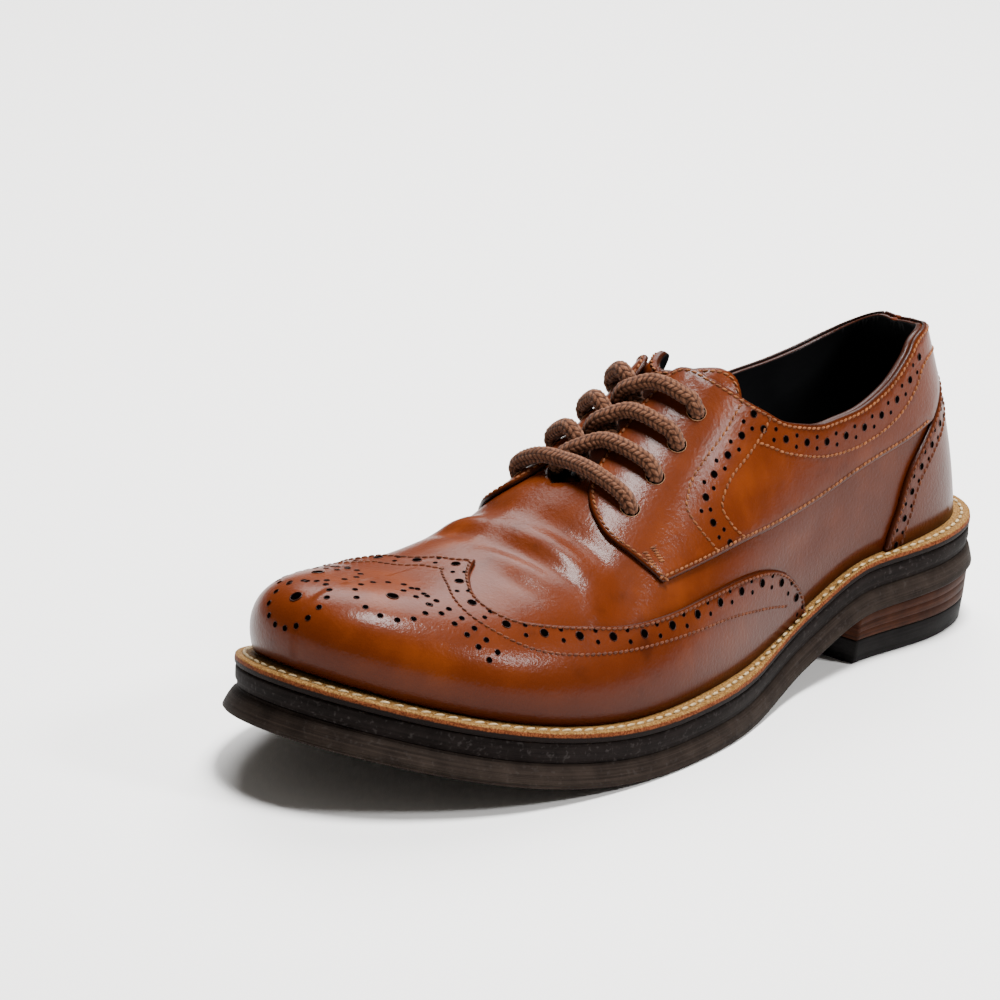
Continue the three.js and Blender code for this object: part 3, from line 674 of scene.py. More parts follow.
# Painted shade: the near-black colour of the discs that stand in for the depth of each hole
holeShade = plainMaterial(
    "holeShade", (0.0005, 0.0003, 0.0003), (0.001, 0.0006, 0.0005), 0.9, 300, specular=0.0
)


# Lace cotton, with painted shade between its strands where the plait sinks in
def plaitedCotton():
    material, tree, shader = startMaterial("laceCotton", 0.9, sheen=0.06, specular=0.05)
    place = addNode(tree, "ShaderNodeTexCoord").outputs["Object"]
    color = ramp(tree, noise(tree, place, 900, 3), [(0.3, (0.075, 0.03, 0.016)), (0.7, (0.17, 0.075, 0.042))])
    # Painted shade: darker in the grooves of the plait, read from the strands' depth
    strandShade = ramp(tree, attribute(tree, "depth"), [(0.15, 0.9), (0.75, 0.0)])
    tree.links.new(mixColor(tree, strandShade, color, (0.016, 0.006, 0.0035)), shader.inputs["Base Color"])
    bump(tree, shader, (noise(tree, place, 3000, 3, 0.7), 0.7, 0.0003))
    return material


laceCotton = plaitedCotton()
rimLeather = plainMaterial("rimLeather", (0.2, 0.1, 0.05), (0.36, 0.2, 0.11), 0.5, 300)
print("materials made")

# Upper, its panels and the tongue

toe = toeStation
toeSeam = [[(toe, 180), (toe, 90)], [(toe, 90), (toe, 0)]]
topEnd = tuple(edges["topline"][0])
upperOutline = [
    [(0, 0), (toe, 0)],
    *[side[::-1] for side in toeSeam[::-1]],
    [(toe, 180), (0, 180)],
    [(0, 180), (topEnd[0], 180 - topEnd[1])],
    turnedOver(edges["medialTopline"]),
    turnedOver(edges["throat"]),
    edges["throat"][::-1],
    edges["topline"][::-1],
    [topEnd, (0, 0)],
]
wingStart = tuple(edges["wing"][0])
wingOutline = [
    edges["wing"],
    edges["wingMedial"],
    [(wingStart[0], 180), (toe, 180)],
    *toeSeam,
    [(toe, 0), wingStart],
]
backStripSide = edges["counter"][-1, 0]
quarterGap = {"top": 0.06, "back": 0.03}  # stations between the counter and the quarter under it


def counterHalf(topline):
    top = topline[topline[:, 0] < backStripSide]
    back = np.vstack([edges["counter"][-1:], top[::-1]])
    return [[(0, 0), tuple(edges["counter"][0])], edges["counter"], back, [topEnd, (0, 0)]]


def quarterOutline(topline):
    top = topline[topline[:, 0] > backStripSide + quarterGap["top"]]
    back = edges["counter"][edges["counter"][:, 1] > edges["quarterFoot"][-1, 1]] + (quarterGap["back"], 0)
    back = np.vstack([edges["quarterFoot"][-1:], back, top[:1]])
    return [top, edges["facing"], edges["quarterFoot"], back]


tongueOutline = [edges["tongue"], turnedOver(edges["tongue"])[::-1]]


def medial(outline):
    return [turnedOver(np.asarray(side, float))[::-1] for side in outline[::-1]]


# The tongue sinks in the lacing gap and swells at its tab
tongueForm = {"sink": 1.6, "halfTurn": 7.5, "from": (6.5, 6.9), "to": (8.0, 8.5), "tab": 6.4, "halfTab": 0.22}


def tongueRise(station, turn):
    along = smoothStep(station, *tongueForm["from"]) * (1 - smoothStep(station, *tongueForm["to"]))
    gap = np.exp(-(((turn - 90) / tongueForm["halfTurn"]) ** 2)) * along
    tab = np.exp(-(((station - tongueForm["tab"]) / tongueForm["halfTab"]) ** 2))
    return -tongueForm["sink"] * gap + tab


pieces = {}
inner, outer = 0.3, 0.3 + wall["panel"]
pieces["upper"] = panelPiece(
    "upperBody", upperOutline, -wall["upper"], 0.0, [upperLeather, liningLeather], rise=creaseRise
)
pieces["wing_cap"] = panelPiece("wingCap", wingOutline, inner, outer, [panelLeather], rise=creaseRise)
print("upper and wing made")
pieces["quarter_lateral"] = panelPiece(
    "lateralQuarter", quarterOutline(edges["topline"]), inner, outer, [panelLeather, liningLeather]
)
pieces["quarter_medial"] = panelPiece(
    "medialQuarter", medial(quarterOutline(edges["medialTopline"])), inner, outer,
    [panelLeather, liningLeather],
)


# The two sides of the counter meet along the back seam, where they are joined
def joined(name, parts):
    mesh = bmesh.new()
    for part in parts:
        mesh.from_mesh(part.data)
    weld(mesh, sheet["seamWeld"])
    whole = bpy.data.meshes.new(name)
    mesh.to_mesh(whole)
    mesh.free()
    for material in parts[0].data.materials:
        whole.materials.append(material)
    whole.shade_smooth()
    for part in parts:
        bpy.data.objects.remove(part)
    return linked(name, whole)


pieces["counter"] = joined("counterPanel", [
    panelPiece("counterLateral", counterHalf(edges["topline"]), inner, outer, [panelLeather]),
    panelPiece("counterMedial", medial(counterHalf(edges["medialTopline"])), inner, outer, [panelLeather]),
])
tongueOuter = -wall["upper"] - 0.3
pieces["tongue"] = panelPiece(
    "tonguePiece", tongueOutline, tongueOuter - wall["tongue"], tongueOuter, [tongueLeather, liningLeather],
    roll=1.6, rise=tongueRise,
)
tongueField = pieces["tongue"].data.attributes
station = np.empty(len(pieces["tongue"].data.vertices), np.float32)
tongueField["station"].data.foreach_get("value", station)
# Painted shade: the tongue goes near black in the lacing gap, standing in for the shadow under the laces
shade = smoothStep(station, 6.5, 6.75) * (1 - smoothStep(station, 8.5, 8.9))  # dark under the laces
tongueField.new("shade", "FLOAT", "POINT").data.foreach_set("value", shade.astype(np.float32))
print("counter and tongue made")

# Sole: rings of the seam outline, each moved out by its own distance and set at its own height

ringCount = 420
ringPlaces = np.arange(ringCount) / ringCount * ringStations
ringPoints = outlineAt(ringPlaces)
ringNormals = outlineNormal(ringPlaces)


def soleEdge(x):
    rise = smoothStep(x, *(share * shoe["length"] for share in sole["waistRise"]))
    fall = smoothStep(x, *(share * shoe["length"] for share in sole["waistFall"]))
    return sole["weltWidth"] - sole["waistNarrowing"] * (rise - fall)


def soleFlare(x):
    start = sole["toeFlareStart"] * shoe["length"]
    return sole["flare"] + sole["toeFlare"] * smoothStep(x, start, shoe["length"])


# The part of the ring behind the breast, its two ends on the breast line
def heelRing(count=80):
    places = np.linspace(0, 6, 2000)
    ends = [np.interp(sole["breastAt"], outlineAt(sign * places)[:, 0], places) for sign in (1, -1)]
    lateral = np.linspace(0, ends[0], count)
    medialSide = -np.linspace(0, ends[1], count)[::-1]
    heel = np.concatenate([lateral, medialSide[:-1]])
    normals = outlineNormal(heel)
    normals[count - 1:count + 1] = [[0, 1], [0, -1]]  # the breast stays straight across
    return outlineAt(heel), normals


# A layer of the sole: its profile, in rows of how far out and how high, taken round a ring
def plate(name, profile, material, closed=False, ring=None):
    points, normals = ring or (ringPoints, ringNormals)
    ringCount = len(points)
    x = points[:, 0]
    rows = []
    for out, height in profile:
        moved = points + normals * np.reshape(out(x) + 0 * x, (-1, 1))
        rows.append(np.column_stack([moved, height(x) + 0 * x]))
    rows = np.array(rows)
    count = len(rows)
    run = np.concatenate([[0], np.cumsum(np.linalg.norm(np.diff(points, axis=0), axis=1))])
    climb = np.concatenate([[0], np.cumsum(np.linalg.norm(np.diff(rows, axis=0), axis=2).mean(1))])

    def at(level, i):
        return (level % count) * ringCount + i % ringCount

    faces, maps = [], []
    for level in range(count if closed else count - 1):
        v = (climb[level], climb[level + 1] if level + 1 < count else climb[level] + 1)
        for i in range(ringCount):
            faces.append((at(level, i), at(level, i + 1), at(level + 1, i + 1), at(level + 1, i))[::-1])
            u = (run[i], run[i + 1] if i + 1 < ringCount else run[i] + 1.5)
            maps.append([(u[0], v[0]), (u[1], v[0]), (u[1], v[1]), (u[0], v[1])][::-1])
    if not closed:
        for i in range((ringCount + 1) // 2):
            for level, order in ((0, 1), (count - 1, -1)):
                strip = [at(level, i), at(level, i + 1), at(level, -i - 1), at(level, -i)]
                strip = list(dict.fromkeys(strip))[::order]
                if len(strip) > 2:
                    faces.append(tuple(strip))
                    flat = {at(level, k): points[k % ringCount] for k in (i, i + 1, -i - 1, -i)}
                    maps.append([(flat[k][0], flat[k][1] * 0.3) for k in strip])
    piece = meshFrom(name, toFrame(rows.reshape(-1, 3)), faces, None, [material])
    layer = piece.data.uv_layers.new(name="UVMap")
    layer.data.foreach_set("uv", np.array([m for f in maps for m in f], np.float32).ravel() * mm)
    return piece


def sideAt(share, inset=0.0):
    return lambda x: soleEdge(x) + share * soleFlare(x) - inset


def levelAt(level):
    return lambda x: soleHeight(x) + level


grooveIn = 0.6
pieces["outsole"] = plate("outsoleEdge", [
    (sideAt(1, 1.1), levelAt(0)), (sideAt(1, 0.4), levelAt(0.15)), (sideAt(1), levelAt(0.7)),
    (sideAt(0.82), levelAt(2.2)), (sideAt(0.55), levelAt(4.0)), (sideAt(0.3), levelAt(5.4)),
    (sideAt(0.22, 0.1), levelAt(5.9)), (sideAt(0.1, 0.7 * grooveIn), levelAt(6.4)),
    (sideAt(0, grooveIn), levelAt(6.7)), (sideAt(0, grooveIn), levelAt(outsoleTop)),
], outsoleEdge)
pieces["midsole"] = plate("midsoleEdge", [
    (sideAt(0, grooveIn), levelAt(midsoleFoot)), (sideAt(0, grooveIn), levelAt(midsoleFoot + 1.1)),
    (sideAt(0, 0.6 * grooveIn), levelAt(midsoleFoot + 1.4)), (sideAt(0, 0.15), levelAt(midsoleFoot + 1.8)),
    (sideAt(0), levelAt(midsoleFoot + 2.3)), (sideAt(0), levelAt(midsoleTop - 0.8)),
    (sideAt(0, 0.4), levelAt(midsoleTop)),
], midsoleEdge)


def inward(width):
    return lambda x: 0 * x - width


grooveAt, grooveWidth = 0.62, 0.9
pieces["welt"] = plate("weltStrip", [
    (sideAt(0, 0.2), levelAt(weltFoot)), (sideAt(0, -0.2), levelAt(weltFoot + 0.6)),
    (sideAt(0, -0.3), levelAt(weltFoot + 1.7)), (sideAt(0, -0.1), levelAt(weltTop - 0.5)),
    (sideAt(0, 0.3), levelAt(weltTop - 0.08)), (sideAt(0, 0.9), levelAt(weltTop)),
    (lambda x: grooveAt * soleEdge(x) + grooveWidth, levelAt(weltTop)),
    (lambda x: grooveAt * soleEdge(x) + 0.45 * grooveWidth, levelAt(weltTop - 0.4)),
    (lambda x: grooveAt * soleEdge(x) - 0.45 * grooveWidth, levelAt(weltTop - 0.4)),
    (lambda x: grooveAt * soleEdge(x) - grooveWidth, levelAt(weltTop)),
    (inward(-1.0), levelAt(weltTop)), (inward(5.0), levelAt(weltTop)), (inward(5.0), levelAt(weltFoot)),
], weltLeather, closed=True)
pieces["insole"] = plate("insoleBoard", [
    (inward(5.3), levelAt(weltFoot)), (inward(5.3), levelAt(featherLevel)),
    (inward(2.8), levelAt(featherLevel)), (inward(2.9), levelAt(featherLevel + sole["insole"] - 0.6)),
    (inward(3.6), levelAt(featherLevel + sole["insole"])),
], liningLeather)


def pile(taper):
    return lambda x: soleEdge(x) + sole["flare"] - sole["heelInset"] - taper


def seatLevel(x):
    return soleHeight(np.minimum(x, sole["breastAt"])) - sole["seam"]


liftTop = sole["topLift"]
pileFoot = liftTop + sole["seam"]


def pileLevel(place):
    return lambda x: pileFoot + place * (seatLevel(x) - pileFoot)


lifts = {"count": 3, "dent": 0.12}  # the lines between the layers of the heel are slightly dented
stack = [(pile(sole["pileTaper"] + 0.1), pileLevel(0))]
for k in range(lifts["count"]):
    for share, dented in ((0.06, False), (0.92, False), (0.96, True), (1.0, True)):
        place = (k + share) / lifts["count"]
        if place < 0.999:
            stack.append((pile(sole["pileTaper"] * (1 - place) + lifts["dent"] * dented), pileLevel(place)))
stack.append((pile(0.1), seatLevel))
pieces["heel_stack"] = plate("heelStack", stack, heelLeather, ring=heelRing())
pieces["top_lift"] = plate("topLift", [
    (pile(sole["liftInset"] + 0.5), lambda x: 0 * x), (pile(sole["liftInset"]), lambda x: 0 * x + 0.5),
    (pile(sole["pileTaper"] + 0.1), lambda x: 0 * x + liftTop - 0.5),
    (pile(sole["pileTaper"] + 0.5), lambda x: 0 * x + liftTop),
], topLiftRubber, ring=heelRing())
print("sole made")

# Laces: round cord of eight plaited columns, run through the eyelets

eyelets = [(6.75, 61.6), (7.14, 60.5), (7.58, 59.4), (8.08, 58.5)]
cord = {
    "radius": 2.75, "plait": 0.42, "pitch": 1.75, "columns": 8, "around": 40, "step": 0.29,
    "lean": 0.75, "smoothings": 30, "perSpan": 40,
}


def cordPiece(name, paths):
    points, faces, depth = [], [], []
    for path in paths:
        keys = np.array(path, float)
        on, normal = formPoint(keys[:, 0], keys[:, 1], 0.0)
        keyPlaces = np.hstack([on + normal * keys[:, 2:3], normal])
        line = smoothEdge(keyPlaces, cord["perSpan"])
        run = np.concatenate([[0], np.cumsum(np.linalg.norm(np.diff(line[:, :3], axis=0), axis=1))])
        want = np.arange(0, run[-1], cord["step"])
        line = np.stack([np.interp(want, run, line[:, k]) for k in range(6)], -1)
        centre, up = line[:, :3], line[:, 3:]
        along = np.gradient(centre, axis=0)
        along /= np.linalg.norm(along, axis=1, keepdims=True)
        side = np.cross(along, up)
        for _ in range(cord["smoothings"]):
            side[1:-1] = (side[:-2] + side[1:-1] + side[2:]) / 3
        side -= along * np.sum(side * along, 1, keepdims=True)
        side /= np.linalg.norm(side, axis=1, keepdims=True)
        up = np.cross(side, along)
        angle = np.arange(cord["around"]) / cord["around"] * 2 * np.pi
        column = angle / (2 * np.pi) * cord["columns"]
        across = column % 1
        lean = np.where(column.astype(int) % 2 == 0, cord["lean"], -cord["lean"]) * (across - 0.5)
        strand = np.abs(np.sin(np.pi * (want[:, None] / cord["pitch"] + lean[None]))) ** 0.7
        hill = 1 - np.abs(2 * across - 1) ** 3
        height = strand * (0.35 + 0.65 * hill[None])
        ends = np.minimum(want, want[-1] - want)[:, None]
        close = np.sqrt(np.clip(ends / cord["radius"], 0.0004, 1))
        radius = (cord["radius"] - cord["plait"] * (1 - height)) * np.minimum(close, 1)
        ringPlace = centre[:, None] + radius[..., None] * (
            np.cos(angle)[None, :, None] * side[:, None] + np.sin(angle)[None, :, None] * up[:, None]
        )
        first, count, rings = len(points), cord["around"], len(want)
        points.extend(ringPlace.reshape(-1, 3))
        depth.extend(height.ravel())
        for r in range(rings - 1):
            a = first + r * count
            turns = [(k, (k + 1) % count) for k in range(count)]
            faces.extend((a + k, a + m, a + count + m, a + count + k) for k, m in turns)
        faces.append(tuple(first + k for k in range(count))[::-1])
        faces.append(tuple(first + (rings - 1) * count + k for k in range(count)))
    piece = meshFrom(name, toFrame(np.array(points)), faces, {"depth": depth}, [laceCotton])
    print(name, len(faces), "faces")
    return piece


# From above into an eyelet, ending hidden under the leather
def into(eyelet):
    station, turn = eyelet
    drop = [(4.0, 4.3), (1.3, 3.2), (-0.2, 0.9), (-0.4, -2.4)]  # turns past the eyelet, and height
    return [(station, turn + past, offset) for past, offset in drop]


def overSide(path):
    return [(station, 180 - turn, offset) for station, turn, offset in path]


barHalf = [(8.1, 90, 3.9), (8.1, 83, 4.4), (8.1, 76, 4.75), (8.09, 68, 4.6), *into(eyelets[-1])]
pieces["lace_bar"] = cordPiece("laceBar", [overSide(barHalf[:0:-1]) + barHalf])
for i in range(3):
    (station, turn), after = eyelets[i], eyelets[i + 1][0]
    middle = (station + after) / 2
    onTop = [
        (after + 0.02, 103, -3.0), (after - 0.02, 100, -1.6), (after - 0.06, 97, 0.9),
        (after - 0.12, 93.5, 2.9), (middle + 0.02, 88, 4.0), (station + 0.12, 82, 4.7),
        (station + 0.07, 75, 4.85), (station + 0.03, 68, 4.6), *into(eyelets[i]),
    ]
    beneath = [
        (after + 0.02, 77, -3.2), (after - 0.03, 80.5, -2.4), (after - 0.08, 84, -1.6),
        (middle + 0.1, 88, -0.9), (station + 0.2, 92, 0.4), (station + 0.15, 95.5, 3.2),
        (station + 0.1, 99.5, 5.2), (station + 0.06, 104, 5.3), (station + 0.03, 111, 4.7),
        *overSide(into(eyelets[i])),
    ]
    pieces[f"lace_crossing_{i + 1}"] = cordPiece(f"laceCrossing{i + 1}", [onTop, beneath])
print("laces made")

# What repeats: stitches along seams and punched holes, both by Geometry Nodes


def newTree(name, inputs):
    tree = bpy.data.node_groups.new(name, "GeometryNodeTree")
    tree.interface.new_socket("Geometry", in_out="INPUT", socket_type="NodeSocketGeometry")
    for key, kind in inputs.items():
        tree.interface.new_socket(key, in_out="INPUT", socket_type=kind)
    tree.interface.new_socket("Geometry", in_out="OUTPUT", socket_type="NodeSocketGeometry")
    return tree, tree.nodes.new("NodeGroupInput").outputs, tree.nodes.new("NodeGroupOutput")


def named(tree, name, kind):
    node = addNode(tree, "GeometryNodeInputNamedAttribute", {"Name": name}, data_type=kind)
    return node.outputs["Attribute"]


def instanced(tree, values):
    placed = addNode(tree, "GeometryNodeInstanceOnPoints", values)
    real = addNode(tree, "GeometryNodeRealizeInstances", {"Geometry": placed.outputs[0]})
    return addNode(tree, "GeometryNodeSetShadeSmooth", {0: real.outputs[0]}).outputs[0]


def coated(tree, shape, material):
    values = {"Geometry": shape, "Material": material}
    return addNode(tree, "GeometryNodeSetMaterial", values).outputs[0]


# Each stitch is a short round-ended cord, turned to its seam and lying on the leather
def stitchTree():
    tree, given, result = newTree("stitchesAlongSeam", {
        "Pitch": "NodeSocketFloat", "Length": "NodeSocketFloat", "Radius": "NodeSocketFloat",
        "Slant": "NodeSocketFloat", "Thread": "NodeSocketMaterial",
    })
    path = addNode(tree, "GeometryNodeMeshToCurve", {"Mesh": given["Geometry"]})
    values = {"Curve": path.outputs[0], "Length": given["Pitch"]}
    even = addNode(tree, "GeometryNodeResampleCurve", values, mode="LENGTH")
    kept = addNode(tree, "GeometryNodeCurveToPoints", {"Curve": even.outputs[0]}, mode="EVALUATED")
    values = {"Vector": named(tree, "outwards", "FLOAT_VECTOR")}
    first = addNode(tree, "FunctionNodeAlignRotationToVector", values, axis="Z")
    values = {"Rotation": first.outputs[0], "Vector": kept.outputs["Tangent"]}
    second = addNode(tree, "FunctionNodeAlignRotationToVector", values, axis="X", pivot_axis="Z")
    slant = addNode(tree, "ShaderNodeCombineXYZ", {"Z": given["Slant"]})
    slanted = addNode(tree, "FunctionNodeEulerToRotation", {"Euler": slant.outputs[0]})
    values = {"Rotation": second.outputs[0], "Rotate By": slanted.outputs[0]}
    turned = addNode(tree, "FunctionNodeRotateRotation", values, rotation_space="LOCAL")
    body = addNode(tree, "GeometryNodeMeshUVSphere", {"Segments": 8, "Rings": 5, "Radius": 1.0})
    shape = addNode(tree, "ShaderNodeCombineXYZ", {
        "X": times(tree, given["Length"], 0.5), "Y": given["Radius"], "Z": given["Radius"],
    })
    laid = instanced(tree, {
        "Points": kept.outputs["Points"], "Instance": body.outputs["Mesh"],
        "Rotation": turned.outputs[0], "Scale": shape.outputs[0],
    })
    tree.links.new(coated(tree, laid, given["Thread"]), result.inputs[0])
    return tree


# Each hole is a near-black disc of painted shade, standing in for the shadowed depth of the hole, inside a
# low rolled lip
def holeTree():
    tree, given, result = newTree("holesOnPoints", {
        "Lip": "NodeSocketFloat", "Height": "NodeSocketFloat",
        "Shade": "NodeSocketMaterial", "Rim": "NodeSocketMaterial",
    })
    disc = addNode(tree, "GeometryNodeMeshCircle", {"Vertices": 14, "Radius": 1.0}, fill_type="NGON")
    lift = addNode(tree, "ShaderNodeCombineXYZ", {"Z": given["Height"]})
    values = {"Geometry": coated(tree, disc.outputs[0], given["Shade"]), "Translation": lift.outputs[0]}
    raised = addNode(tree, "GeometryNodeTransform", values)
    lipPath, lipSection = (
        addNode(tree, "GeometryNodeCurvePrimitiveCircle", {"Resolution": count, "Radius": radius})
        for count, radius in ((14, 1.0), (6, given["Lip"]))
    )
    values = {"Curve": lipPath.outputs[0], "Profile Curve": lipSection.outputs[0]}
    lip = addNode(tree, "GeometryNodeCurveToMesh", values)
    both = tree.nodes.new("GeometryNodeJoinGeometry")
    tree.links.new(coated(tree, lip.outputs[0], given["Rim"]), both.inputs[0])
    tree.links.new(raised.outputs[0], both.inputs[0])
    values = {"Vector": named(tree, "outwards", "FLOAT_VECTOR")}
    turned = addNode(tree, "FunctionNodeAlignRotationToVector", values, axis="Z")
    points = addNode(tree, "GeometryNodeMeshToPoints", {"Mesh": given["Geometry"]})
    laid = instanced(tree, {
        "Points": points.outputs[0], "Instance": both.outputs[0],
        "Rotation": turned.outputs[0], "Scale": named(tree, "holeRadius", "FLOAT"),
    })
    tree.links.new(laid, result.inputs[0])
    return tree


# A base of bare points or paths becomes a plain mesh through its tree
def grown(name, base, tree, values):
    modifier = base.modifiers.new("grow", "NODES")
    modifier.node_group = tree
    sockets = {item.name: item.identifier for item in tree.interface.items_tree if item.in_out == "INPUT"}
    for key, value in values.items():
        modifier[sockets[key]] = value
    graph = bpy.context.evaluated_depsgraph_get()
    mesh = bpy.data.meshes.new_from_object(
        base.evaluated_get(graph), preserve_all_data_layers=True, depsgraph=graph
    )
    mesh.name = name
    base.modifiers.remove(modifier)
    bpy.data.objects.remove(base)
    print(name, len(mesh.polygons), "faces")
    return linked(name, mesh)


# Points and normals of each line as one mesh: joined up as paths, or bare with a radius each
def baseOf(name, lines, radii=None):
    points, links, normals, first = [], [], [], 0
    for place, normal in lines:
        points.extend(tuple(p) for p in place)
        normals.append(normal)
        links.extend((first + i, first + i + 1) for i in range(len(place) - 1))
        first += len(place)
    mesh = bpy.data.meshes.new(name)
    mesh.from_pydata(points, links if radii is None else [], [])
    field = mesh.attributes.new("outwards", "FLOAT_VECTOR", "POINT")
    field.data.foreach_set("vector", np.vstack(normals).astype(np.float32).ravel())
    if radii is not None:
        field = mesh.attributes.new("holeRadius", "FLOAT", "POINT")
        field.data.foreach_set("value", np.asarray(radii, np.float32))
    return linked(name, mesh)


def onForm(path, offset, rise=None):
    path = np.asarray(path, float)
    lift = offset + (rise(path[:, 0], path[:, 1]) if rise else 0.0)
    place, normal = formPoint(path[:, 0], path[:, 1], lift)
    return toFrame(place), normal


def bothSides(paths):
    return [*paths, *[turnedOver(np.asarray(p, float)) for p in paths]]


stitching = {"pitch": 2.2, "length": 2.05, "radius": 0.44, "slant": 0.22}
threadLift = 0.02
onPanel = outer + threadLift
pathStep = 3.0  # between the points of an edge before a row is moved off it


# Rows of stitches beside an edge: how far in each row lies, to the left of the edge as it runs
def rowsBeside(edge, distances):
    return [spaced(movedPath(spaced(edge, pathStep), d), 2.0) for d in distances]


def stitched(name, lines, thread, settings=stitching):
    values = {key.capitalize(): settings[key] * mm for key in ("pitch", "length", "radius")}
    values.update({"Slant": settings["slant"], "Thread": thread})
    return grown(name, baseOf(name, lines), stitches, values)


def seamPiece(name, paths, thread, offset=onPanel, rise=None, settings=stitching):
    return stitched(name, [onForm(path, offset, rise) for path in paths], thread, settings)


stitches = stitchTree()
holes = holeTree()
wingAcross = np.vstack([edges["wing"], edges["wingMedial"][1:]])
innerApex = (11.62, 80.5)
wingInner = smoothEdge([
    (5.98, 5.4), (6.47, 9.5), (7.14, 14.2), (7.88, 18), (8.64, 21.9), (9.51, 26.5), (10.31, 31.2),
    (10.75, 35.5), (11.17, 42.5), (11.5, 50), (11.67, 58.5), (11.69, 67), (11.7, 76), innerApex,
])
innerMedial = movedPath(spaced(edges["wingMedial"], pathStep), 9.0)
innerMedial = np.vstack([innerApex, innerMedial[(innerMedial[:, 1] > 90) & (innerMedial[:, 1] < 174)]])
stripLeft = smoothEdge([
    (6.22, 51), (6.56, 50.1), (6.92, 50.3), (7.2, 49.7), (7.37, 47.5), (7.46, 44.7), (7.4, 38.2),
    (7.27, 31.5),
])
stripRight = smoothEdge([
    (5.91, 41.7), (6.08, 40.8), (6.37, 40.5), (6.68, 40.9), (6.9, 39.5), (6.98, 37.1), (6.9, 32.1),
    (6.77, 28.2),
])
collarBand = smoothEdge([
    (6.15, 39.3), (5.78, 32), (5.23, 25.2), (4.67, 21.4), (4.18, 20.6), (3.65, 22.2), (3.17, 25.3),
    (2.83, 28.5), (2.3, 29.6), (1.5, 29.2), (0.95, 29.2),
])


# Only the part of a row that keeps clear of the topline and of the sole
def trimmed(path, clear=1.6, topline="topline"):
    top = np.interp(path[:, 0], edges[topline][:, 0], edges[topline][:, 1], right=180)
    return path[(path[:, 1] > 0.6) & (path[:, 1] < top - clear)]


# The collar's band of holes has a row of its own on each side, below that side's topline
collarWidth = 8.6
medialBand = movedPath(spaced(edges["medialTopline"], pathStep), collarWidth)
medialBand = medialBand[(medialBand[:, 0] > 0.95) & (medialBand[:, 0] < 6.15)][::-1]
wingRows = [*rowsBeside(wingAcross, (1.2,)), wingInner, innerMedial]
edgeRows = [
    rowsBeside(np.vstack([edges[key], edges["facing"][1:]]), (1.4,))[0]
    for key in ("topline", "medialTopline")
]
strips = [trimmed(path) for path in (stripLeft, stripRight)]
footRows = [trimmed(path) for path in rowsBeside(edges["quarterFoot"], (1.5,))]
counterRows = [trimmed(path) for path in rowsBeside(edges["counter"], (-1.3, -7.5))]
tongueRows = rowsBeside(edges["tongue"], (-2.0,))
tack = [[(8.27, 45.5), (8.25, 40.5)], [(8.14, 45.0), (8.12, 40.5)]]  # bars at the foot of the facing
quarterRows = [
    *bothSides([*footRows, *strips]),
    edgeRows[0], collarBand, turnedOver(edgeRows[1]), turnedOver(medialBand),
]

pieces["wingStitches"] = seamPiece("wingStitches", wingRows, seamThread, rise=creaseRise)
pieces["quarterStitches"] = seamPiece("quarterStitches", quarterRows, paleThread)
pieces["tongueStitches"] = seamPiece(
    "tongueStitches", bothSides(tongueRows), paleThread, tongueOuter + threadLift, tongueRise
)
tackStitching = {"pitch": 0.9, "length": 2.2, "radius": 0.4, "slant": 1.2}
pieces["tackStitches"] = seamPiece("tackStitches", bothSides(tack), paleThread, settings=tackStitching)
pieces["counterStitches"] = seamPiece("counterStitches", bothSides(counterRows), seamThread)

weltRun = np.linspace(0, ringStations, 900)
weltPoints = outlineAt(weltRun)
weltPoints = weltPoints + outlineNormal(weltRun) * (grooveAt * soleEdge(weltPoints[:, 0]))[:, None]
weltLine = np.column_stack([weltPoints, soleHeight(outlineAt(weltRun)[:, 0]) + weltTop - 0.15])
weltStitching = {"pitch": 4.2, "length": 3.4, "radius": 0.55, "slant": 0.0}
upwards = np.tile([0.0, 0.0, 1.0], (len(weltLine), 1))
pieces["weltStitches"] = stitched("weltStitches", [(toFrame(weltLine), upwards)], weltThread, weltStitching)

# Punched holes: a big one and a pair of small ones by turns along each band, and the toe's rings
punch = {"big": 1.45, "small": 0.78, "step": 12.6, "pairGap": 3.6, "lip": 0.12, "height": 0.06}
quarterPunch = {"big": 1.25, "small": 0.72, "stripStep": 8.8, "collarStep": 9.6}
counterPunch = {"big": 1.2, "small": 0.7, "step": 9.0}


def bandHoles(path, step=punch["step"], big=punch["big"], small=punch["small"]):
    places = spaced(path, step / 2)
    pairs = [(movedPath(places, side * punch["pairGap"] / 2)[1::2], small) for side in (-1, 1)]
    return [(places[::2], big), *pairs]


def otherSide(groups):
    return [(turnedOver(path), radius) for path, radius in groups]


def holePiece(name, groups, offset, rise=None, rim=panelLeather, lip=punch["lip"]):
    lines, radii = [], []
    for path, radius in groups:
        lines.append(onForm(path, offset, rise))
        radii.extend([radius * mm] * len(path))
    return grown(name, baseOf(name, lines, radii), holes, {
        "Lip": lip, "Height": punch["height"], "Shade": holeShade, "Rim": rim,
    })


def ringOf(centre, radius, count):
    station, turn = centre
    normal = formPoint(station, turn)[1]
    along = formPoint(station + probe["station"], turn)[0] - formPoint(station - probe["station"], turn)[0]
    along /= np.linalg.norm(along)
    angles = np.arange(count) / count * 2 * np.pi
    directions = np.cos(angles)[:, None] * along + np.sin(angles)[:, None] * np.cross(normal, along)
    return walked([centre] * count, directions, radius)


# The path halfway between two others
def between(a, b):
    t = np.linspace(0, 1, 60)

    def at(path):
        even = spaced(path, 1.0)
        run = np.linspace(0, 1, len(even))
        return np.stack([np.interp(t, run, even[:, 0]), np.interp(t, run, even[:, 1])], -1)

    return at(a) * 0.5 + at(b) * 0.5


holeClear = 3.2
stripMiddle = trimmed(between(stripLeft, stripRight), holeClear)


def collarMiddle(topline, band):
    top = movedPath(spaced(edges[topline], pathStep), 1.4)
    top = top[(top[:, 0] > 0.9) & (top[:, 0] < 6.0)][::-1]
    return trimmed(between(top, band), holeClear, topline)


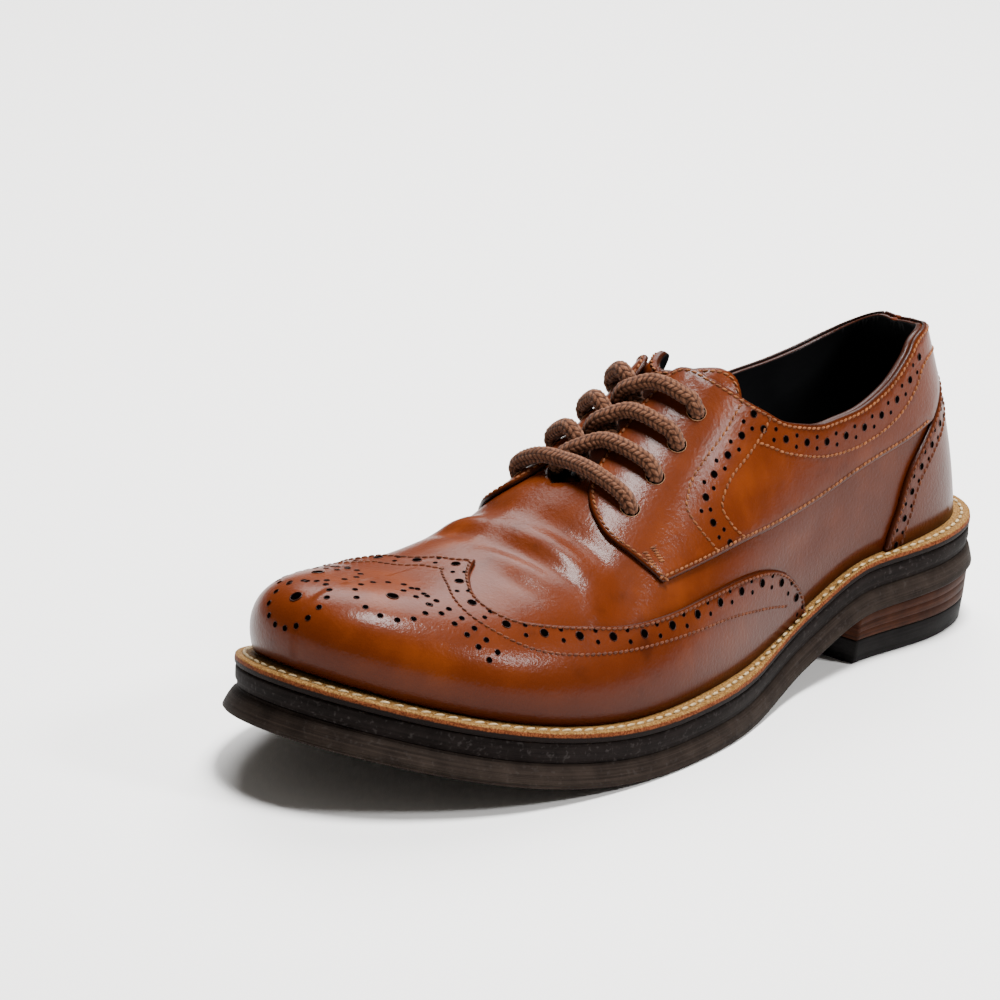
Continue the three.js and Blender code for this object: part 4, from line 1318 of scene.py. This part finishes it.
counterMiddle = trimmed(movedPath(spaced(edges["counter"], pathStep), -4.4), 3.0)
apexHole = (11.01, 81)
wingHoleRow = 3.6
wingMiddle = [
    np.vstack([movedPath(spaced(edges["wing"], pathStep), wingHoleRow)[1:-2], apexHole])[::-1],
    np.vstack([apexHole, movedPath(spaced(edges["wingMedial"], pathStep), wingHoleRow)[2:-1]]),
]
wingPunches = [group for path in wingMiddle for group in bandHoles(path)]
wingPunches[3] = (wingPunches[3][0][1:], punch["big"])  # both runs start from the apex hole

# The toe's medallion: an eye at the front and one on each side, each in a ring, and two rows a side
medallion = {
    "front": (13.7, 141.0), "frontRing": 9.5, "side": (12.89, 54.5), "sideRing": 11.3, "count": 14,
    "eye": 1.9, "hole": 0.95, "rowStep": 5.0, "rowGap": 3.8,
}
sprayRow = smoothEdge([(12.65, 63.5), (12.2, 58.5), (11.77, 50.5), (11.45, 42.5), (11.21, 33.5)])
sprayRow = spaced(sprayRow, medallion["rowStep"])
sprayRows = [sprayRow, movedPath(sprayRow, -medallion["rowGap"])]
sideRing = ringOf(medallion["side"], medallion["sideRing"], medallion["count"])
toePunches = [
    (ringOf(medallion["front"], medallion["frontRing"], medallion["count"]), medallion["hole"]),
    (np.array([medallion["front"]]), medallion["eye"]),
    *[(path, medallion["hole"]) for path in bothSides([*sprayRows, sideRing])],
    *[(path, medallion["eye"]) for path in bothSides([[medallion["side"]]])],
]
pieces["wingHoles"] = holePiece("wingHoles", [*wingPunches, *toePunches], outer, creaseRise)


def sideHoles(middle):
    sizes = quarterPunch["big"], quarterPunch["small"]
    return [
        *bandHoles(stripMiddle, quarterPunch["stripStep"], *sizes),
        *bandHoles(middle, quarterPunch["collarStep"], *sizes),
    ]


pieces["quarterHoles"] = holePiece("quarterHoles", [
    *sideHoles(collarMiddle("topline", collarBand)),
    *otherSide(sideHoles(collarMiddle("medialTopline", medialBand))),
], outer)
backHoles = bandHoles(counterMiddle, **{key: counterPunch[key] for key in ("step", "big", "small")})
pieces["counterHoles"] = holePiece("counterHoles", [*backHoles, *otherSide(backHoles)], outer)
# Eyelets: a disc of painted shade round the lace, inside a pale ring
eyelet = {"radius": 3.1, "lip": 0.05}
pieces["eyeletRims"] = holePiece(
    "eyeletRims", [(path, eyelet["radius"]) for path in bothSides([eyelets])], outer,
    rim=rimLeather, lip=eyelet["lip"],
)
print("holes made")

materialSlots = {
    "upper": "upper_leather", "wing_cap": "upper_leather", "counter": "upper_leather",
    "quarter_lateral": "upper_leather", "quarter_medial": "upper_leather", "tongue": "tongue_leather",
    "outsole": "sole_edge", "midsole": "midsole", "welt": "welt", "insole": "lining",
    "heel_stack": "heel", "top_lift": "top_lift", "lace_bar": "lace",
    "lace_crossing_1": "lace", "lace_crossing_2": "lace", "lace_crossing_3": "lace",
}
for node, piece in pieces.items():
    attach(piece, "root")
    if node in materialSlots:
        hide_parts(node)

# Stage

paper = {"size": 8.0, "drop": 0.0002, "color": (0.92, 0.91, 0.895, 1), "roughness": 0.5}
floorMesh = bmesh.new()
bmesh.ops.create_grid(floorMesh, x_segments=1, y_segments=1, size=paper["size"] / 2)
floorData = bpy.data.meshes.new("floor")
floorMesh.to_mesh(floorData)
floorMesh.free()
floor = linked("floor", floorData)
floor.location.z = -paper["drop"]
floorMaterial, _, floorShader = startMaterial("floorPaper", paper["roughness"])
floorShader.inputs["Base Color"].default_value = paper["color"]
floor.data.materials.append(floorMaterial)

# The camera looks along one line through the aim point and is shifted by where that point lies in the
# picture. Distances are in millimetres, focal length and pixel in pixels of the picture.
view = {
    "azimuth": 41.1, "elevation": 18.7, "roll": -2.5, "distance": 1500.0, "focal": 4700.0, "picture": 1000,
}
aim = {"x": 140.5, "z": 45.0, "pixel": (646, 552)}
turnAngle, liftAngle, rollAngle = (math.radians(view[k]) for k in ("azimuth", "elevation", "roll"))
flat = math.cos(liftAngle)
forward = -Vector((math.cos(turnAngle) * flat, math.sin(turnAngle) * flat, math.sin(liftAngle)))
right = forward.cross(Vector((0, 0, 1))).normalized()
upward = right.cross(forward)
eye = Vector((aim["x"], 0, aim["z"])) - forward * view["distance"]
right, upward = (
    math.cos(rollAngle) * right - math.sin(rollAngle) * upward,
    math.sin(rollAngle) * right + math.cos(rollAngle) * upward,
)
middle = view["picture"] / 2
offX, offY = (middle - aim["pixel"][0]) / view["focal"], (aim["pixel"][1] - middle) / view["focal"]
axis = (forward + offX * right + offY * upward).normalized()
right = (right - right.dot(axis) * axis).normalized()
upward = right.cross(axis)
cameraData = bpy.data.cameras.new("camera")
cameraData.sensor_width = 36
cameraData.lens = cameraData.sensor_width * view["focal"] / view["picture"]
cameraData.clip_end = 50
camera = linked("camera", cameraData)
place = toFrame(np.array(eye))
camera.matrix_world = Matrix((
    (right.x, upward.x, -axis.x, place[0]),
    (right.y, upward.y, -axis.y, place[1]),
    (right.z, upward.z, -axis.z, place[2]),
    (0, 0, 0, 1),
))
bpy.context.scene.camera = camera

world = bpy.data.worlds.new("studio")
world.use_nodes = True
background = world.node_tree.nodes["Background"].inputs
background["Color"].default_value = (1, 0.95, 0.88, 1)
background["Strength"].default_value = 0.18
bpy.context.scene.world = world

softboxes = [
    {"name": "overhead", "at": (-0.1, 0.15, 1.5), "to": (0, 0, 0), "size": (0.55, 0.42), "power": 64},
    {"name": "sideBox", "at": (-0.5, 1.2, 1.1), "to": (0, 0, 0.05), "size": (0.3, 0.3), "power": 22},
    {"name": "backBox", "at": (-0.95, -0.85, 1.3), "to": (-0.75, -0.65, 0), "size": (1.3, 1.3), "power": 62},
]
for box in softboxes:
    data = bpy.data.lights.new(box["name"], "AREA")
    data.shape = "RECTANGLE"
    data.size, data.size_y = box["size"]
    data.energy = box["power"]
    lamp = linked(box["name"], data)
    lamp.location = box["at"]
    lamp.rotation_euler = (Vector(box["to"]) - Vector(box["at"])).to_track_quat("-Z", "Y").to_euler()
print("stage set", bpy.context.scene.view_settings.view_transform)
